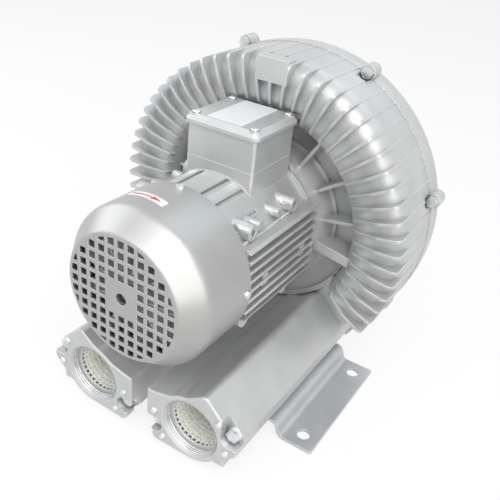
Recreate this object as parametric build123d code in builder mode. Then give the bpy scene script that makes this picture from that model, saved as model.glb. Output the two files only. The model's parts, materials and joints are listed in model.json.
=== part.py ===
from build123d import *
from math import cos, radians, sin, sqrt, tan
import os

os.makedirs("parts", exist_ok=True)

# Side channel blower with its motor, two silencers and two feet, in millimetres.
# X runs to the right and Y to the rear as seen from the fan end, Z is up. The origin lies on the
# floor, in the middle of the four foot holes.

# Clearances
fit_play = 0.03
hole_play = 0.1
running_gap = 0.6
air_gap = 0.5
seat_gap = 0.2

# Motor axis and the places along it, from the fan end to the blower end
motor_axis_height = 168
cover_front_y = -174
cover_length = 78
frame_front_y = -95.5
frame_length = 121.5
web_front_y = 58
web_thickness = 5
joint_y = 101.5

# Feet
foot_hole_span_x = 260
foot_hole_span_y = 115
foot_hole_radius = 6.5
foot_length = 148
foot_sheet = 3
foot_seat_height = 18
foot_edge_margin = 16.5
foot_corner_radius = 2.5
foot_bend_radius = 7
foot_riser_x = 110.5
foot_riser_lean = 4
foot_flange_width = 21
foot_screw_radius = 3
foot_screw_spacing = 50
foot_screw_depth = 11
foot_screw_head_radius = 5.4
foot_screw_head_height = 4

# Silencers
port_x = 58.3
port_height = 40.6
port_bore_radius = 28.3
port_thread_length = 16
port_bevel = 2.5
port_wall = 6.3
silencer_length = 209
silencer_split = 19
silencer_outer_x = 108
silencer_cover_space = 33
silencer_shoulder_height = 53.5
silencer_side_height = 15.2
silencer_ledge_width = 12
silencer_inner_foot_height = 14
silencer_edge_radius = 7
sleeve_room_radius = 30.5
front_flange_depth = 12
front_lug_x = 22
front_lug_height = 11
front_lug_radius = 6
silencer_bolt_reach = 42.5
silencer_bolt_angles = (17, 203)
silencer_bolt_radius = 4
silencer_bolt_head_radius = 6.5
silencer_bolt_head_height = 5
silencer_bolt_flange = 1
silencer_bolt_flange_radius = 7.5
silencer_bolt_notch_radius = 8.2
silencer_bolt_grips = (25, 4.5)
port_screw_reach = 39.5
port_screw_angles = (40, -5, 180, 222)
port_screw_radius = 2
port_screw_head_radius = 3.2
port_screw_head_height = 2
port_screw_length = 8
silencer_lip = 1.2
screen_radius = 26
screen_sheet = 1
screen_collar = 1.5

# Blower casing
casing_radius = 161.6
rim_radius = 162.7
rim_width = 5.5
flank_angle = 30
bulge_inner_radius = 104
bulge_front_y = 23
bulge_corner_radius = 22
channel_end_wall = 3
casing_wall = 6
neck_front_radius = 68
neck_rear_radius = 77.5
neck_ring_radius = 80.5
neck_ring_depth = 4
hub_radius = 34
hub_length = 25
rib_count = 42
rib_pitch = 5.83
rib_thickness = 2.6
rib_root_radius = 101.6
rib_foot_y = 52
rib_crest_y = 15
rib_crest_inner_radius = 138
rib_shoulder_radius = 113
rib_shoulder_y = 23
rib_outer_radius = 162.2
rib_corners = (2, 6, 20, 6)
rib_end_y = 98
root_ring_inner_radius = 100.8
root_ring_outer_radius = 105.6
root_ring_front_y = 53
web_angles = (11.3, 34.6, 57.9, 81.2)
web_rib_thickness = 3
web_rib_outer_radius = 108
web_rib_neck_y = 38
web_rib_tip_y = 36
web_bar_angle = -9.1
web_bar_thickness = 10
web_bar_outer_radius = 112
web_bar_front_y = 30
pad_start = 81.5
pad_end = 93
pad_inner_radius = 141
pad_depth = 8
lug_reach = 165.5
lug_radius = 7.5
lug_count = 4
lug_first = 16
low_lug_reach = 160
low_lug_angle = -33
lug_front_y = 92
lug_pocket_length = 12
cover_bolt_radius = 3.2
cover_bolt_head_radius = 6
cover_bolt_head_height = 4.5
port_duct_radius = 26
port_duct_rear_y = 94

# Rear cover
rear_plate_thickness = 5.5
rear_bulge_depth = 31
rear_bulge_sector = 330
rear_channel_sector = 310
rear_rib_count = 24
rear_rib_height = 4
rear_rib_outer_radius = 160
rear_rib_corners = (1, 8, 8, 12, 1)
rear_rib_sink = 1
rear_dome_radius = 36
rear_dome_depth = 16
rear_lug_depth = 5.5

# Impeller
impeller_radius = 146
impeller_rim_radius = 109
impeller_rim_wall = 5
impeller_bucket_radius = 16
impeller_divider = 3
impeller_disc_thickness = 6
impeller_hub_radius = 24
vane_count = 44
vane_thickness = 1.8
vent_count = 6
vent_radius = 7
vent_reach = 62
impeller_key_width = 8
impeller_key_height = 7
impeller_key_length = 26
impeller_bolt_radius = 4
impeller_bolt_head_radius = 6.5
impeller_bolt_head_height = 5
impeller_bolt_length = 20
impeller_washer_radius = 16
impeller_washer_thickness = 3

# Motor frame
frame_radius = 70
frame_bore_radius = 56
spigot_wall = 4
spigot_length = 4
fin_tip_x = 71
fin_reach = 78
fin_root_x = 64
fin_pitch = 10
fin_thickness = 3.2
fin_count = 8
bottom_slot_count = 8
bottom_slot_root = 61
groove_places = (-45.5, -29.5, -13.5, 13.5, 29.5, 45.5)
groove_width = 4
groove_root = 61
groove_depth = 36
groove_length = 46
large_boss_radius = 7.5
large_boss_places = (-80, -9)
large_boss_reach = 61.5
boss_height = 45
small_boss_radius = 4.5
small_boss_places = (-65, -33)
small_boss_reach = 59
boss_hole_radius = 3
boss_hole_depth = 8
fin_lump_places = (-63, 5)
fin_lump_drop = 6
fin_lump_length = 9
fin_lump_height = 12
fin_lump_reach = 69

# Fan end shield and fan cover
shield_radius = 70
shield_rim_width = 14
shield_disc_thickness = 8.5
shield_hub_radius = 26
shield_hub_length = 14.5
shield_lip_thickness = 3
shield_pad_width = 12
tie_bolt_reach = 63
tie_bolt_radius = 2.5
tie_bolt_head_radius = 4.5
tie_bolt_head_height = 4
tie_bolt_grip = 20
fan_cover_radius = 74
fan_cover_sheet = 2
fan_cover_face_radius = 57
fan_cover_shoulder_depth = 22
fan_cover_face_edge = 5
fan_cover_shoulder_edge = 14
grille_radius = 54.5
grille_pitch = 10.1
grille_hole = 6.7
grille_count = 11
grille_blank = 1
grille_centre_radius = 5.5
cover_screw_inset = 6
cover_screw_radius = 2
cover_screw_head_radius = 4
cover_screw_head_height = 2.2
cover_screw_length = 8

# Stator and rotor
stator_front_y = -75
stator_length = 80
stator_bore_radius = 33.5
slot_count = 24
slot_inner_radius = 36
slot_outer_radius = 48
slot_width = 5
coil_inner_radius = 36.5
coil_outer_radius = 50
coil_overhang = 15
cage_ring_radius = 31
cage_ring_bore = 19
cage_ring_length = 8

# Shaft and bearings
shaft_front_y = -169
shaft_rear_y = 100
fan_seat_radius = 7
front_journal_radius = 8.5
front_shoulder_radius = 11
front_shoulder_length = 12
rotor_seat_radius = 15
rear_journal_radius = 12.5
impeller_seat_radius = 12
centre_hole_radius = 2.5
front_bearing_y = -120
front_bearing_width = 12
front_bearing_radius = 20
front_ball_radius = 3.4
front_ball_count = 8
rear_bearing_y = 40
rear_bearing_width = 15
rear_bearing_radius = 26
rear_ball_radius = 4
rear_ball_count = 9
race_play = 0.05
wave_washer_thickness = 1
seal_radius = 20
seal_width = 7
hub_shoulder_radius = 18

# Cooling fan
fan_rear_y = -136
fan_radius = 64
fan_depth = 28
fan_disc_thickness = 3
fan_hub_radius = 14
fan_blade_count = 9
fan_blade_thickness = 2.6
fan_blade_nose_radius = 50
fan_blade_nose_depth = 14
circlip_thickness = 1.2
circlip_radius = 9.5
circlip_groove_radius = 6.4

# Terminal box
box_half_width = 35.7
box_front_y = -47.6
box_length = 68.2
pedestal_top = 246.7
skirt_drop = 6
skirt_height = 12
skirt_slope = 25
box_top = 275.8
box_wall = 3
box_corner_radius = 3
box_inner_corner = 1
box_gasket = 0.8
lid_gasket_thickness = 1.2
lid_gasket_inset = 1.2
lid_overhang = 3
lid_thickness = 8
lid_corner_radius = 4
lid_bevel = 4.5
lid_boss_radius = 5.8
lid_plate = 3
lid_room = 1
lid_screw_inset = 5.2
lid_screw_radius = 2
lid_screw_head_radius = 3.6
lid_screw_head_height = 3
lid_screw_head_edge = 1.2
lid_screw_recess_radius = 4.4
lid_screw_recess = 1.5
lid_screw_length = 14
box_pillar_radius = 4.6
wire_hole_length = 30
wire_hole_width = 14
block_length = 44
block_width = 22
block_height = 9
stud_radius = 2
stud_height = 12
stud_pitch_x = 15
stud_pitch_y = 12
stud_nut_radius = 4
stud_nut_height = 2
link_thickness = 1.5
link_width = 6
gland_height = 262
gland_bore_radius = 6
gland_thread_radius = 10
gland_hex_radius = 13.5
gland_hex_length = 6
gland_nut_radius = 12
gland_nut_length = 12
gland_nut_bevel = 3
earth_screw_radius = 5
earth_screw_height = 2.5
earth_screw_x = 24.2

# Places worked out from the sizes above
cover_rear_y = cover_front_y + cover_length
frame_rear_y = frame_front_y + frame_length
cavity_front_y = web_front_y + web_thickness
silencer_front_y = web_front_y - silencer_length
silencer_inner_x = silencer_split / 2
silencer_arc_radius = fan_cover_radius + silencer_cover_space
port_boss_radius = port_bore_radius + port_wall
bolt_notch_width = 2 * silencer_bolt_notch_radius
ledge_outer_x = silencer_outer_x - silencer_ledge_width
foot_flange_x = silencer_outer_x - foot_flange_width
foot_screw_x = (ledge_outer_x + foot_flange_x) / 2
box_rear_y = box_front_y + box_length
box_mid_y = box_front_y + box_length / 2
box_floor = pedestal_top + box_gasket
lid_screw_x = box_half_width - lid_screw_inset
lid_seat = lid_thickness - lid_screw_recess
lid_screw_y = box_length / 2 - lid_screw_inset
lid_bottom = box_top + lid_gasket_thickness
lid_top = lid_bottom + lid_thickness
impeller_front_y = cavity_front_y + running_gap
impeller_rear_y = joint_y - running_gap
impeller_mid_y = (impeller_front_y + impeller_rear_y) / 2
pocket_radius = impeller_radius + running_gap
drum_radius = pocket_radius + casing_wall
rib_first = 90 - rib_pitch * (rib_count - 1) / 2
bulge_sector = 180 - 2 * rib_first
lug_spread = 180 - 2 * lug_first
low_lug_spread = 180 - 2 * low_lug_angle
foot_edge_x = foot_hole_span_x / 2 + foot_edge_margin
stator_rear_y = stator_front_y + stator_length
shield_front_y = frame_front_y - shield_rim_width
shield_hub_front_y = shield_front_y - shield_hub_length
front_bearing_rear_y = front_bearing_y + front_bearing_width
rear_bearing_rear_y = rear_bearing_y + rear_bearing_width


# A plane across the motor axis at y, seen from the fan end, with its origin on the axis.
def across(y):
    return Plane(origin=(0, y, motor_axis_height), x_dir=(1, 0, 0), z_dir=(0, -1, 0))


# The same plane with its origin on the floor.
def upright(y):
    return Plane(origin=(0, y, 0), x_dir=(1, 0, 0), z_dir=(0, -1, 0))


# A plane that holds the motor axis, at an angle from the right: drawn as radius, y.
def radial(angle):
    a = radians(angle)
    return Plane(
        origin=(0, 0, motor_axis_height), x_dir=(cos(a), 0, sin(a)), z_dir=(-sin(a), 0, cos(a))
    )


# Points on a circle about a centre, one for each angle.
def round_about(centre, reach, angles):
    return [(centre[0] + reach * cos(radians(a)), centre[1] + reach * sin(radians(a))) for a in angles]


# A turned ring or disc that ends at rear_y.
def ring(rear_y, length, bore, radius):
    with BuildPart() as piece:
        with BuildSketch(across(rear_y)):
            Circle(radius)
            if bore > 0:
                Circle(bore, mode=Mode.SUBTRACT)
        extrude(amount=length)
    return piece


# Half-plane in which turned profiles are drawn as y, radius, and the axis they turn about.
turning_plane = Plane(origin=(0, 0, motor_axis_height), x_dir=(0, 1, 0), z_dir=(1, 0, 0))
motor_axis = Axis((0, 0, motor_axis_height), (0, -1, 0))
port_centre = (port_x, port_height)
silencer_bolt_places = round_about(port_centre, silencer_bolt_reach, silencer_bolt_angles)
port_screw_places = round_about(port_centre, port_screw_reach, port_screw_angles)


# Closed outline of the right silencer: hollowed on top to clear the fan cover, sloped outside,
# with a ledge for the foot and a round bottom about the port.
def silencer_outline():
    inner_z = motor_axis_height - sqrt(silencer_arc_radius**2 - silencer_inner_x**2)
    slope_sum = silencer_outer_x + silencer_shoulder_height
    drop = slope_sum - motor_axis_height
    top_x = (drop + sqrt(2 * silencer_arc_radius**2 - drop**2)) / 2
    middle_x = (silencer_inner_x + top_x) / 2
    middle_z = motor_axis_height - sqrt(silencer_arc_radius**2 - middle_x**2)
    side_bottom = silencer_shoulder_height - silencer_side_height
    ledge_top = side_bottom - silencer_ledge_width
    with BuildSketch(Plane.XY) as outline:
        with BuildLine():
            ThreePointArc(
                (silencer_inner_x, inner_z), (middle_x, middle_z), (top_x, slope_sum - top_x)
            )
            Polyline(
                (top_x, slope_sum - top_x),
                (silencer_outer_x, silencer_shoulder_height),
                (silencer_outer_x, side_bottom),
                (ledge_outer_x, ledge_top),
                (ledge_outer_x, foot_seat_height),
                (port_x, foot_seat_height),
                (port_x, silencer_inner_foot_height),
                (silencer_inner_x + silencer_edge_radius, silencer_inner_foot_height),
                (silencer_inner_x, silencer_inner_foot_height + silencer_edge_radius),
                (silencer_inner_x, inner_z),
            )
        make_face()
        soft = [v for v in outline.vertices() if v.X > top_x - 1 and v.Y > side_bottom - 1]
        fillet(soft, silencer_edge_radius)
        with Locations(port_centre):
            Circle(port_boss_radius)
    return outline.sketch


# Silencer bodies: one casting each, with the threaded port in front
with BuildPart() as right_silencer_body:
    with BuildSketch(upright(web_front_y)):
        add(silencer_outline())
    extrude(amount=silencer_length)
    with BuildSketch(upright(silencer_front_y + front_flange_depth)):
        with Locations(port_centre):
            Circle(port_boss_radius)
        with Locations((front_lug_x, front_lug_height)):
            Circle(front_lug_radius)
        make_hull()
    extrude(amount=front_flange_depth)
    chamfer(right_silencer_body.faces().sort_by(Axis.Y)[0].edges(), silencer_lip)
    with BuildSketch(upright(web_front_y)):
        with Locations(port_centre):
            Circle(sleeve_room_radius)
    extrude(amount=silencer_length - port_thread_length, mode=Mode.SUBTRACT)
    with BuildSketch(upright(silencer_front_y + port_thread_length)):
        with Locations(port_centre):
            Circle(port_bore_radius)
    extrude(amount=port_thread_length, mode=Mode.SUBTRACT)
    port_edge = right_silencer_body.edges().filter_by(GeomType.CIRCLE)
    port_edge = port_edge.filter_by(lambda e: abs(e.radius - port_bore_radius) < 0.01)
    chamfer(port_edge.sort_by(Axis.Y)[0], port_bevel)
    with BuildSketch(upright(silencer_front_y + front_flange_depth)):
        with Locations(*silencer_bolt_places):
            Circle(silencer_bolt_notch_radius)
        with Locations(silencer_bolt_places[0]):
            Rectangle(bolt_notch_width, bolt_notch_width, align=(Align.MIN, Align.CENTER))
            Rectangle(bolt_notch_width, 2 * bolt_notch_width, align=(Align.CENTER, Align.MIN))
        with Locations(silencer_bolt_places[1]):
            Rectangle(bolt_notch_width, bolt_notch_width, align=(Align.MAX, Align.CENTER))
    extrude(amount=front_flange_depth, mode=Mode.SUBTRACT)
    with BuildSketch(upright(web_front_y)):
        with Locations(*silencer_bolt_places):
            Circle(silencer_bolt_radius + hole_play)
    extrude(amount=silencer_length, mode=Mode.SUBTRACT)
    with BuildSketch(upright(silencer_front_y + port_screw_length)):
        with Locations(*port_screw_places):
            Circle(port_screw_radius)
    extrude(amount=port_screw_length, mode=Mode.SUBTRACT)
    with BuildSketch(Plane.XY.offset(foot_seat_height)):
        with Locations((foot_screw_x, 0)):
            with GridLocations(0, foot_screw_spacing, 1, 3):
                Circle(foot_screw_radius)
    extrude(amount=foot_screw_depth, mode=Mode.SUBTRACT)

right_silencer_body.part.label = "right_silencer_body"
export_step(right_silencer_body.part, "parts/right_silencer_body.step")

with BuildPart() as left_silencer_body:
    mirror(right_silencer_body.part, about=Plane.YZ)

left_silencer_body.part.label = "left_silencer_body"
export_step(left_silencer_body.part, "parts/left_silencer_body.step")

# Port screens: a perforated tube with a collar behind the thread
with BuildPart() as right_port_screen:
    with BuildSketch(upright(web_front_y - seat_gap)):
        with Locations(port_centre):
            Circle(screen_radius)
            Circle(screen_radius - screen_sheet, mode=Mode.SUBTRACT)
    extrude(amount=silencer_length - seat_gap - port_thread_length)
    with BuildSketch(upright(silencer_front_y + port_thread_length + screen_collar)):
        with Locations(port_centre):
            Circle(sleeve_room_radius - seat_gap)
            Circle(screen_radius - screen_sheet, mode=Mode.SUBTRACT)
    extrude(amount=screen_collar)

right_port_screen.part.label = "right_port_screen"
export_step(right_port_screen.part, "parts/right_port_screen.step")

with BuildPart() as left_port_screen:
    mirror(right_port_screen.part, about=Plane.YZ)

left_port_screen.part.label = "left_port_screen"
export_step(left_port_screen.part, "parts/left_port_screen.step")

# Foam sleeves round the screens
with BuildPart() as right_silencer_sleeve:
    with BuildSketch(upright(web_front_y - seat_gap)):
        with Locations(port_centre):
            Circle(sleeve_room_radius - seat_gap)
            Circle(screen_radius + seat_gap, mode=Mode.SUBTRACT)
    extrude(amount=silencer_length - port_thread_length - screen_collar - 2 * seat_gap)

right_silencer_sleeve.part.label = "right_silencer_sleeve"
export_step(right_silencer_sleeve.part, "parts/right_silencer_sleeve.step")

with BuildPart() as left_silencer_sleeve:
    mirror(right_silencer_sleeve.part, about=Plane.YZ)

left_silencer_sleeve.part.label = "left_silencer_sleeve"
export_step(left_silencer_sleeve.part, "parts/left_silencer_sleeve.step")

# Long bolts that hold the silencers to the casing, with flanged heads in the notches
with BuildPart() as silencer_bolts:
    with BuildSketch(upright(silencer_front_y + front_flange_depth)):
        with Locations(*silencer_bolt_places):
            Circle(silencer_bolt_flange_radius)
    extrude(amount=silencer_bolt_flange)
    with BuildSketch(upright(silencer_front_y + front_flange_depth - silencer_bolt_flange)):
        with Locations(*silencer_bolt_places):
            RegularPolygon(silencer_bolt_head_radius, 6)
    extrude(amount=silencer_bolt_head_height)
    for place, grip in zip(silencer_bolt_places, silencer_bolt_grips):
        with BuildSketch(upright(web_front_y + grip)):
            with Locations(place):
                Circle(silencer_bolt_radius)
        extrude(amount=grip + silencer_length - front_flange_depth)
    mirror(about=Plane.YZ)

silencer_bolts.part.label = "silencer_bolts"
export_step(silencer_bolts.part, "parts/silencer_bolts.step")

# Small screws in the port faces
with BuildPart() as port_screws:
    with BuildSketch(upright(silencer_front_y + port_screw_length)):
        with Locations(*port_screw_places):
            Circle(port_screw_radius)
    extrude(amount=port_screw_length)
    with BuildSketch(upright(silencer_front_y)):
        with Locations(*port_screw_places):
            Circle(port_screw_head_radius)
    extrude(amount=port_screw_head_height, taper=20)
    mirror(about=Plane.YZ)

port_screws.part.label = "port_screws"
export_step(port_screws.part, "parts/port_screws.step")

# Feet: a Z-bent sheet under each silencer
with BuildPart() as right_foot:
    with BuildSketch(upright(foot_length / 2)):
        with BuildLine():
            FilletPolyline(
                (foot_edge_x, foot_sheet / 2),
                (foot_riser_x, foot_sheet / 2),
                (foot_riser_x - foot_riser_lean, foot_seat_height - foot_sheet / 2),
                (foot_flange_x, foot_seat_height - foot_sheet / 2),
                radius=foot_bend_radius,
            )
        trace(line_width=foot_sheet)
    extrude(amount=foot_length)
    outer_corners = right_foot.edges().filter_by(Axis.Z).group_by(Axis.X)[-1]
    fillet(outer_corners, foot_corner_radius)
    with BuildSketch(Plane.XY):
        with Locations((foot_hole_span_x / 2, 0)):
            with GridLocations(0, foot_hole_span_y, 1, 2):
                Circle(foot_hole_radius)
    extrude(amount=foot_sheet, mode=Mode.SUBTRACT)
    with BuildSketch(Plane.XY.offset(foot_seat_height)):
        with Locations((foot_screw_x, 0)):
            with GridLocations(0, foot_screw_spacing, 1, 3):
                Circle(foot_screw_radius)
    extrude(amount=-foot_sheet, mode=Mode.SUBTRACT)

right_foot.part.label = "right_foot"
export_step(right_foot.part, "parts/right_foot.step")

with BuildPart() as left_foot:
    mirror(right_foot.part, about=Plane.YZ)

left_foot.part.label = "left_foot"
export_step(left_foot.part, "parts/left_foot.step")

with BuildPart() as foot_screws:
    with BuildSketch(Plane.XY.offset(foot_seat_height - foot_sheet)):
        with Locations((foot_screw_x, 0)):
            with GridLocations(0, foot_screw_spacing, 1, 3):
                RegularPolygon(foot_screw_head_radius, 6)
    extrude(amount=-foot_screw_head_height)
    with BuildSketch(Plane.XY.offset(foot_seat_height - foot_sheet)):
        with Locations((foot_screw_x, 0)):
            with GridLocations(0, foot_screw_spacing, 1, 3):
                Circle(foot_screw_radius)
    extrude(amount=foot_sheet + foot_screw_depth)
    mirror(about=Plane.YZ)

foot_screws.part.label = "foot_screws"
export_step(foot_screws.part, "parts/foot_screws.step")


# Outline of the casing at a radius: a circle with straight flanks down to the foot ledges.
def casing_outline(radius):
    a = radians(flank_angle)
    flank_x = radius * cos(a)
    flank_z = -radius * sin(a)
    bottom_z = foot_seat_height - motor_axis_height
    bottom_x = flank_x - (flank_z - bottom_z) * tan(a)
    with BuildSketch(Plane.XY) as outline:
        Circle(radius)
        with BuildLine():
            Polyline(
                (flank_x, flank_z),
                (bottom_x, bottom_z),
                (-bottom_x, bottom_z),
                (-flank_x, flank_z),
                close=True,
            )
        make_face()
    return outline.sketch


# Ring section of the channel bulge, drawn as radius, y, with its two far corners rounded.
def bulge_section(angle, wall, near_y, far_y):
    corner = bulge_corner_radius - wall
    with BuildSketch(radial(angle)) as section:
        with Locations(((bulge_inner_radius + casing_radius) / 2, (near_y + far_y) / 2)):
            Rectangle(casing_radius - bulge_inner_radius - 2 * wall, abs(far_y - near_y))
        far = section.vertices().sort_by(Axis.Y)
        fillet(far[:2] if far_y < near_y else far[-2:], corner)
    return section.sketch


# Round lugs for the cover bolts, each with straight sides that run into the casing.
def lug_outline():
    with BuildSketch(Plane.XY) as outline:
        with Locations(*lug_places):
            Circle(lug_radius)
        with PolarLocations(lug_reach - lug_radius, lug_count, lug_first, lug_spread, endpoint=True):
            Rectangle(2 * lug_radius, 2 * lug_radius)
        with PolarLocations(low_lug_reach - lug_radius, 2, low_lug_angle, low_lug_spread, endpoint=True):
            Rectangle(2 * lug_radius, 2 * lug_radius)
    return outline.sketch


rib_angles = [rib_first + rib_pitch * k for k in range(rib_count)]
web_rib_angles = list(web_angles) + [180 - a for a in web_angles]
web_bar_angles = (web_bar_angle, 180 - web_bar_angle)
tie_bolt_places = round_about((0, 0), tie_bolt_reach, (45, 135, 225, 315))
lug_angles = [lug_first + lug_spread * k / (lug_count - 1) for k in range(lug_count)]
low_lug_angles = (low_lug_angle, 180 - low_lug_angle)
lug_places = round_about((0, 0), lug_reach, lug_angles)
lug_places += round_about((0, 0), low_lug_reach, low_lug_angles)

# Air room and bores of the casing, cut from its front half in one go
hub_front_y = cavity_front_y - hub_length
coil_room_rear_y = web_front_y - 2 * casing_wall
with BuildPart() as casing_room:
    with BuildSketch(across(joint_y)):
        Circle(pocket_radius)
    extrude(amount=joint_y - cavity_front_y)
    room_start = rib_first + channel_end_wall
    add(bulge_section(room_start, casing_wall, joint_y, bulge_front_y + casing_wall))
    revolve(axis=motor_axis, revolution_arc=bulge_sector - 2 * channel_end_wall)
    with BuildSketch(upright(port_duct_rear_y)):
        with Locations(port_centre, (-port_x, port_height)):
            Circle(port_duct_radius)
    extrude(amount=port_duct_rear_y - web_front_y)
    with BuildSketch(across(hub_front_y)):
        Circle(frame_bore_radius - spigot_wall)
    extrude(amount=hub_front_y - frame_rear_y + spigot_length)
    with BuildSketch(across(coil_room_rear_y)):
        Circle(frame_bore_radius - spigot_wall)
        Circle(hub_radius, mode=Mode.SUBTRACT)
    extrude(amount=coil_room_rear_y - hub_front_y)
    with BuildSketch(across(rear_bearing_rear_y)):
        Circle(rear_bearing_radius + fit_play)
    extrude(amount=rear_bearing_rear_y - hub_front_y)
    with BuildSketch(across(cavity_front_y)):
        Circle(hub_shoulder_radius)
    extrude(amount=cavity_front_y - rear_bearing_rear_y)
    with BuildSketch(across(cavity_front_y)):
        Circle(seal_radius + fit_play)
    extrude(amount=seal_width)
    with BuildSketch(across(frame_rear_y + tie_bolt_grip)):
        with Locations(*tie_bolt_places):
            Circle(tie_bolt_radius)
    extrude(amount=tie_bolt_grip)
    with BuildSketch(across(joint_y)):
        with Locations(*lug_places):
            Circle(cover_bolt_radius + hole_play)
    extrude(amount=joint_y - lug_front_y)
    with BuildSketch(across(lug_front_y)):
        with Locations(*lug_places):
            Circle(lug_radius)
    extrude(amount=lug_pocket_length)
    for place, grip in zip(silencer_bolt_places, silencer_bolt_grips):
        with BuildSketch(upright(web_front_y + grip)):
            with Locations(place, (-place[0], place[1])):
                Circle(silencer_bolt_radius)
        extrude(amount=grip)
    with BuildSketch(Plane.XY.offset(lid_bottom - lid_room)):
        with Locations((0, box_mid_y)):
            Rectangle(
                2 * (box_half_width + lid_overhang + lid_room), box_length + 2 * (lid_overhang + lid_room)
            )
    extrude(amount=lid_thickness + 2 * lid_room)

# Front half of the casing: neck, web, channel bulge, cooling ribs and port blocks
with BuildPart() as side_channel_housing:
    with BuildSketch(across(joint_y)):
        Circle(drum_radius)
    extrude(amount=joint_y - web_front_y)
    with BuildSketch(across(joint_y)):
        add(casing_outline(rim_radius))
    extrude(amount=rim_width)
    with BuildSketch(upright(port_duct_rear_y + web_thickness)):
        add(silencer_outline())
        mirror(about=Plane.YZ)
    extrude(amount=port_duct_rear_y + web_thickness - web_front_y)
    add(bulge_section(rib_first, 0, joint_y - rim_width, bulge_front_y))
    revolve(axis=motor_axis, revolution_arc=bulge_sector)
    with BuildSketch(turning_plane):
        with BuildLine():
            Polyline(
                (frame_rear_y, 0),
                (frame_rear_y, neck_front_radius),
                (web_front_y - neck_ring_depth, neck_rear_radius),
                (web_front_y - neck_ring_depth, neck_ring_radius),
                (cavity_front_y, neck_ring_radius),
                (cavity_front_y, 0),
                close=True,
            )
        make_face()
    revolve(axis=motor_axis)
    with BuildSketch(across(cavity_front_y)):
        Circle(root_ring_outer_radius)
        Circle(root_ring_inner_radius, mode=Mode.SUBTRACT)
    extrude(amount=cavity_front_y - root_ring_front_y)
    with BuildSketch(across(frame_rear_y)):
        Circle(frame_bore_radius - fit_play)
    extrude(amount=spigot_length)
    with BuildSketch(across(joint_y)):
        add(lug_outline())
    extrude(amount=joint_y - lug_front_y)
    with BuildSketch(*[radial(a) for a in web_rib_angles]):
        with BuildLine():
            Polyline(
                (frame_bore_radius + casing_wall, web_rib_neck_y),
                (web_rib_outer_radius, web_rib_tip_y),
                (web_rib_outer_radius, cavity_front_y),
                (frame_bore_radius + casing_wall, cavity_front_y),
                close=True,
            )
        make_face()
    extrude(amount=web_rib_thickness / 2, both=True)
    with BuildSketch(*[radial(a) for a in web_bar_angles]):
        with BuildLine():
            Polyline(
                (frame_bore_radius + casing_wall, web_bar_front_y),
                (web_bar_outer_radius, web_bar_front_y),
                (web_bar_outer_radius, cavity_front_y),
                (frame_bore_radius + casing_wall, cavity_front_y),
                close=True,
            )
        make_face()
    extrude(amount=web_bar_thickness / 2, both=True)
    pad_left = rim_radius * cos(radians(pad_end))
    pad_right = rim_radius * cos(radians(pad_start))
    with BuildSketch(across(bulge_front_y + casing_wall)):
        with Locations(((pad_left + pad_right) / 2, (rim_radius + pad_inner_radius) / 2)):
            Rectangle(pad_right - pad_left, rim_radius - pad_inner_radius)
    extrude(amount=casing_wall + pad_depth)
    with BuildSketch(*[radial(a) for a in rib_angles]):
        with BuildLine():
            FilletPolyline(
                (rib_root_radius, cavity_front_y),
                (rib_root_radius, rib_foot_y),
                (rib_shoulder_radius, rib_shoulder_y),
                (rib_crest_inner_radius, rib_crest_y),
                (rib_outer_radius, rib_crest_y),
                (rib_outer_radius, rib_end_y),
                radius=rib_corners,
            )
            Polyline(
                (rib_outer_radius, rib_end_y),
                (rib_root_radius, rib_end_y),
                (rib_root_radius, cavity_front_y),
            )
        make_face()
    extrude(amount=rib_thickness / 2, both=True)
    add(casing_room.part, mode=Mode.SUBTRACT)

side_channel_housing.part.label = "side_channel_housing"
export_step(side_channel_housing.part, "parts/side_channel_housing.step")

rear_bulge_y = joint_y + rear_bulge_depth + casing_wall
rear_start = 270 + (360 - rear_bulge_sector) / 2
rear_channel_start = 270 + (360 - rear_channel_sector) / 2
rear_rib_pitch = rear_bulge_sector / rear_rib_count
rear_rib_inner_radius = rear_dome_radius - rear_rib_sink
rear_rib_root_y = joint_y + rear_rib_sink
rear_rib_angles = [rear_start + rear_rib_pitch * (k + 0.5) for k in range(rear_rib_count)]

# Air room and bolt holes of the rear cover
with BuildPart() as cover_room:
    add(bulge_section(rear_channel_start, casing_wall, joint_y, rear_bulge_y - casing_wall))
    revolve(axis=motor_axis, revolution_arc=rear_channel_sector)
    with BuildSketch(across(joint_y + rear_dome_depth - casing_wall)):
        Circle(rear_dome_radius - casing_wall)
    extrude(amount=rear_dome_depth - casing_wall)
    with BuildSketch(across(joint_y + rear_lug_depth)):
        with Locations(*lug_places):
            Circle(cover_bolt_radius)
    extrude(amount=rear_lug_depth)

# Rear half of the casing, with the second half of the channel
with BuildPart() as rear_cover:
    with BuildSketch(across(joint_y + rear_plate_thickness)):
        add(casing_outline(rim_radius))
    extrude(amount=rear_plate_thickness)
    with BuildSketch(across(joint_y + rear_lug_depth)):
        add(lug_outline())
    extrude(amount=rear_lug_depth)
    add(bulge_section(rear_start, 0, joint_y, rear_bulge_y))
    revolve(axis=motor_axis, revolution_arc=rear_bulge_sector)
    with BuildSketch(across(joint_y + rear_dome_depth)):
        Circle(rear_dome_radius)
    extrude(amount=rear_dome_depth)
    with BuildSketch(*[radial(a) for a in rear_rib_angles]):
        with BuildLine():
            FilletPolyline(
                (rear_rib_inner_radius, rear_rib_root_y),
                (rear_rib_inner_radius, joint_y + rear_dome_depth - rear_rib_sink),
                (bulge_inner_radius, rear_bulge_y - 2 * casing_wall),
                (bulge_inner_radius + 2 * casing_wall, rear_bulge_y + rear_rib_height),
                (casing_radius - 2 * casing_wall, rear_bulge_y + rear_rib_height),
                (rear_rib_outer_radius, joint_y + rear_plate_thickness),
                (rear_rib_outer_radius, rear_rib_root_y),
                radius=rear_rib_corners,
            )
            Line((rear_rib_outer_radius, rear_rib_root_y), (rear_rib_inner_radius, rear_rib_root_y))
        make_face()
    extrude(amount=rib_thickness / 2, both=True)
    add(cover_room.part, mode=Mode.SUBTRACT)

rear_cover.part.label = "rear_cover"
export_step(rear_cover.part, "parts/rear_cover.step")

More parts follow.
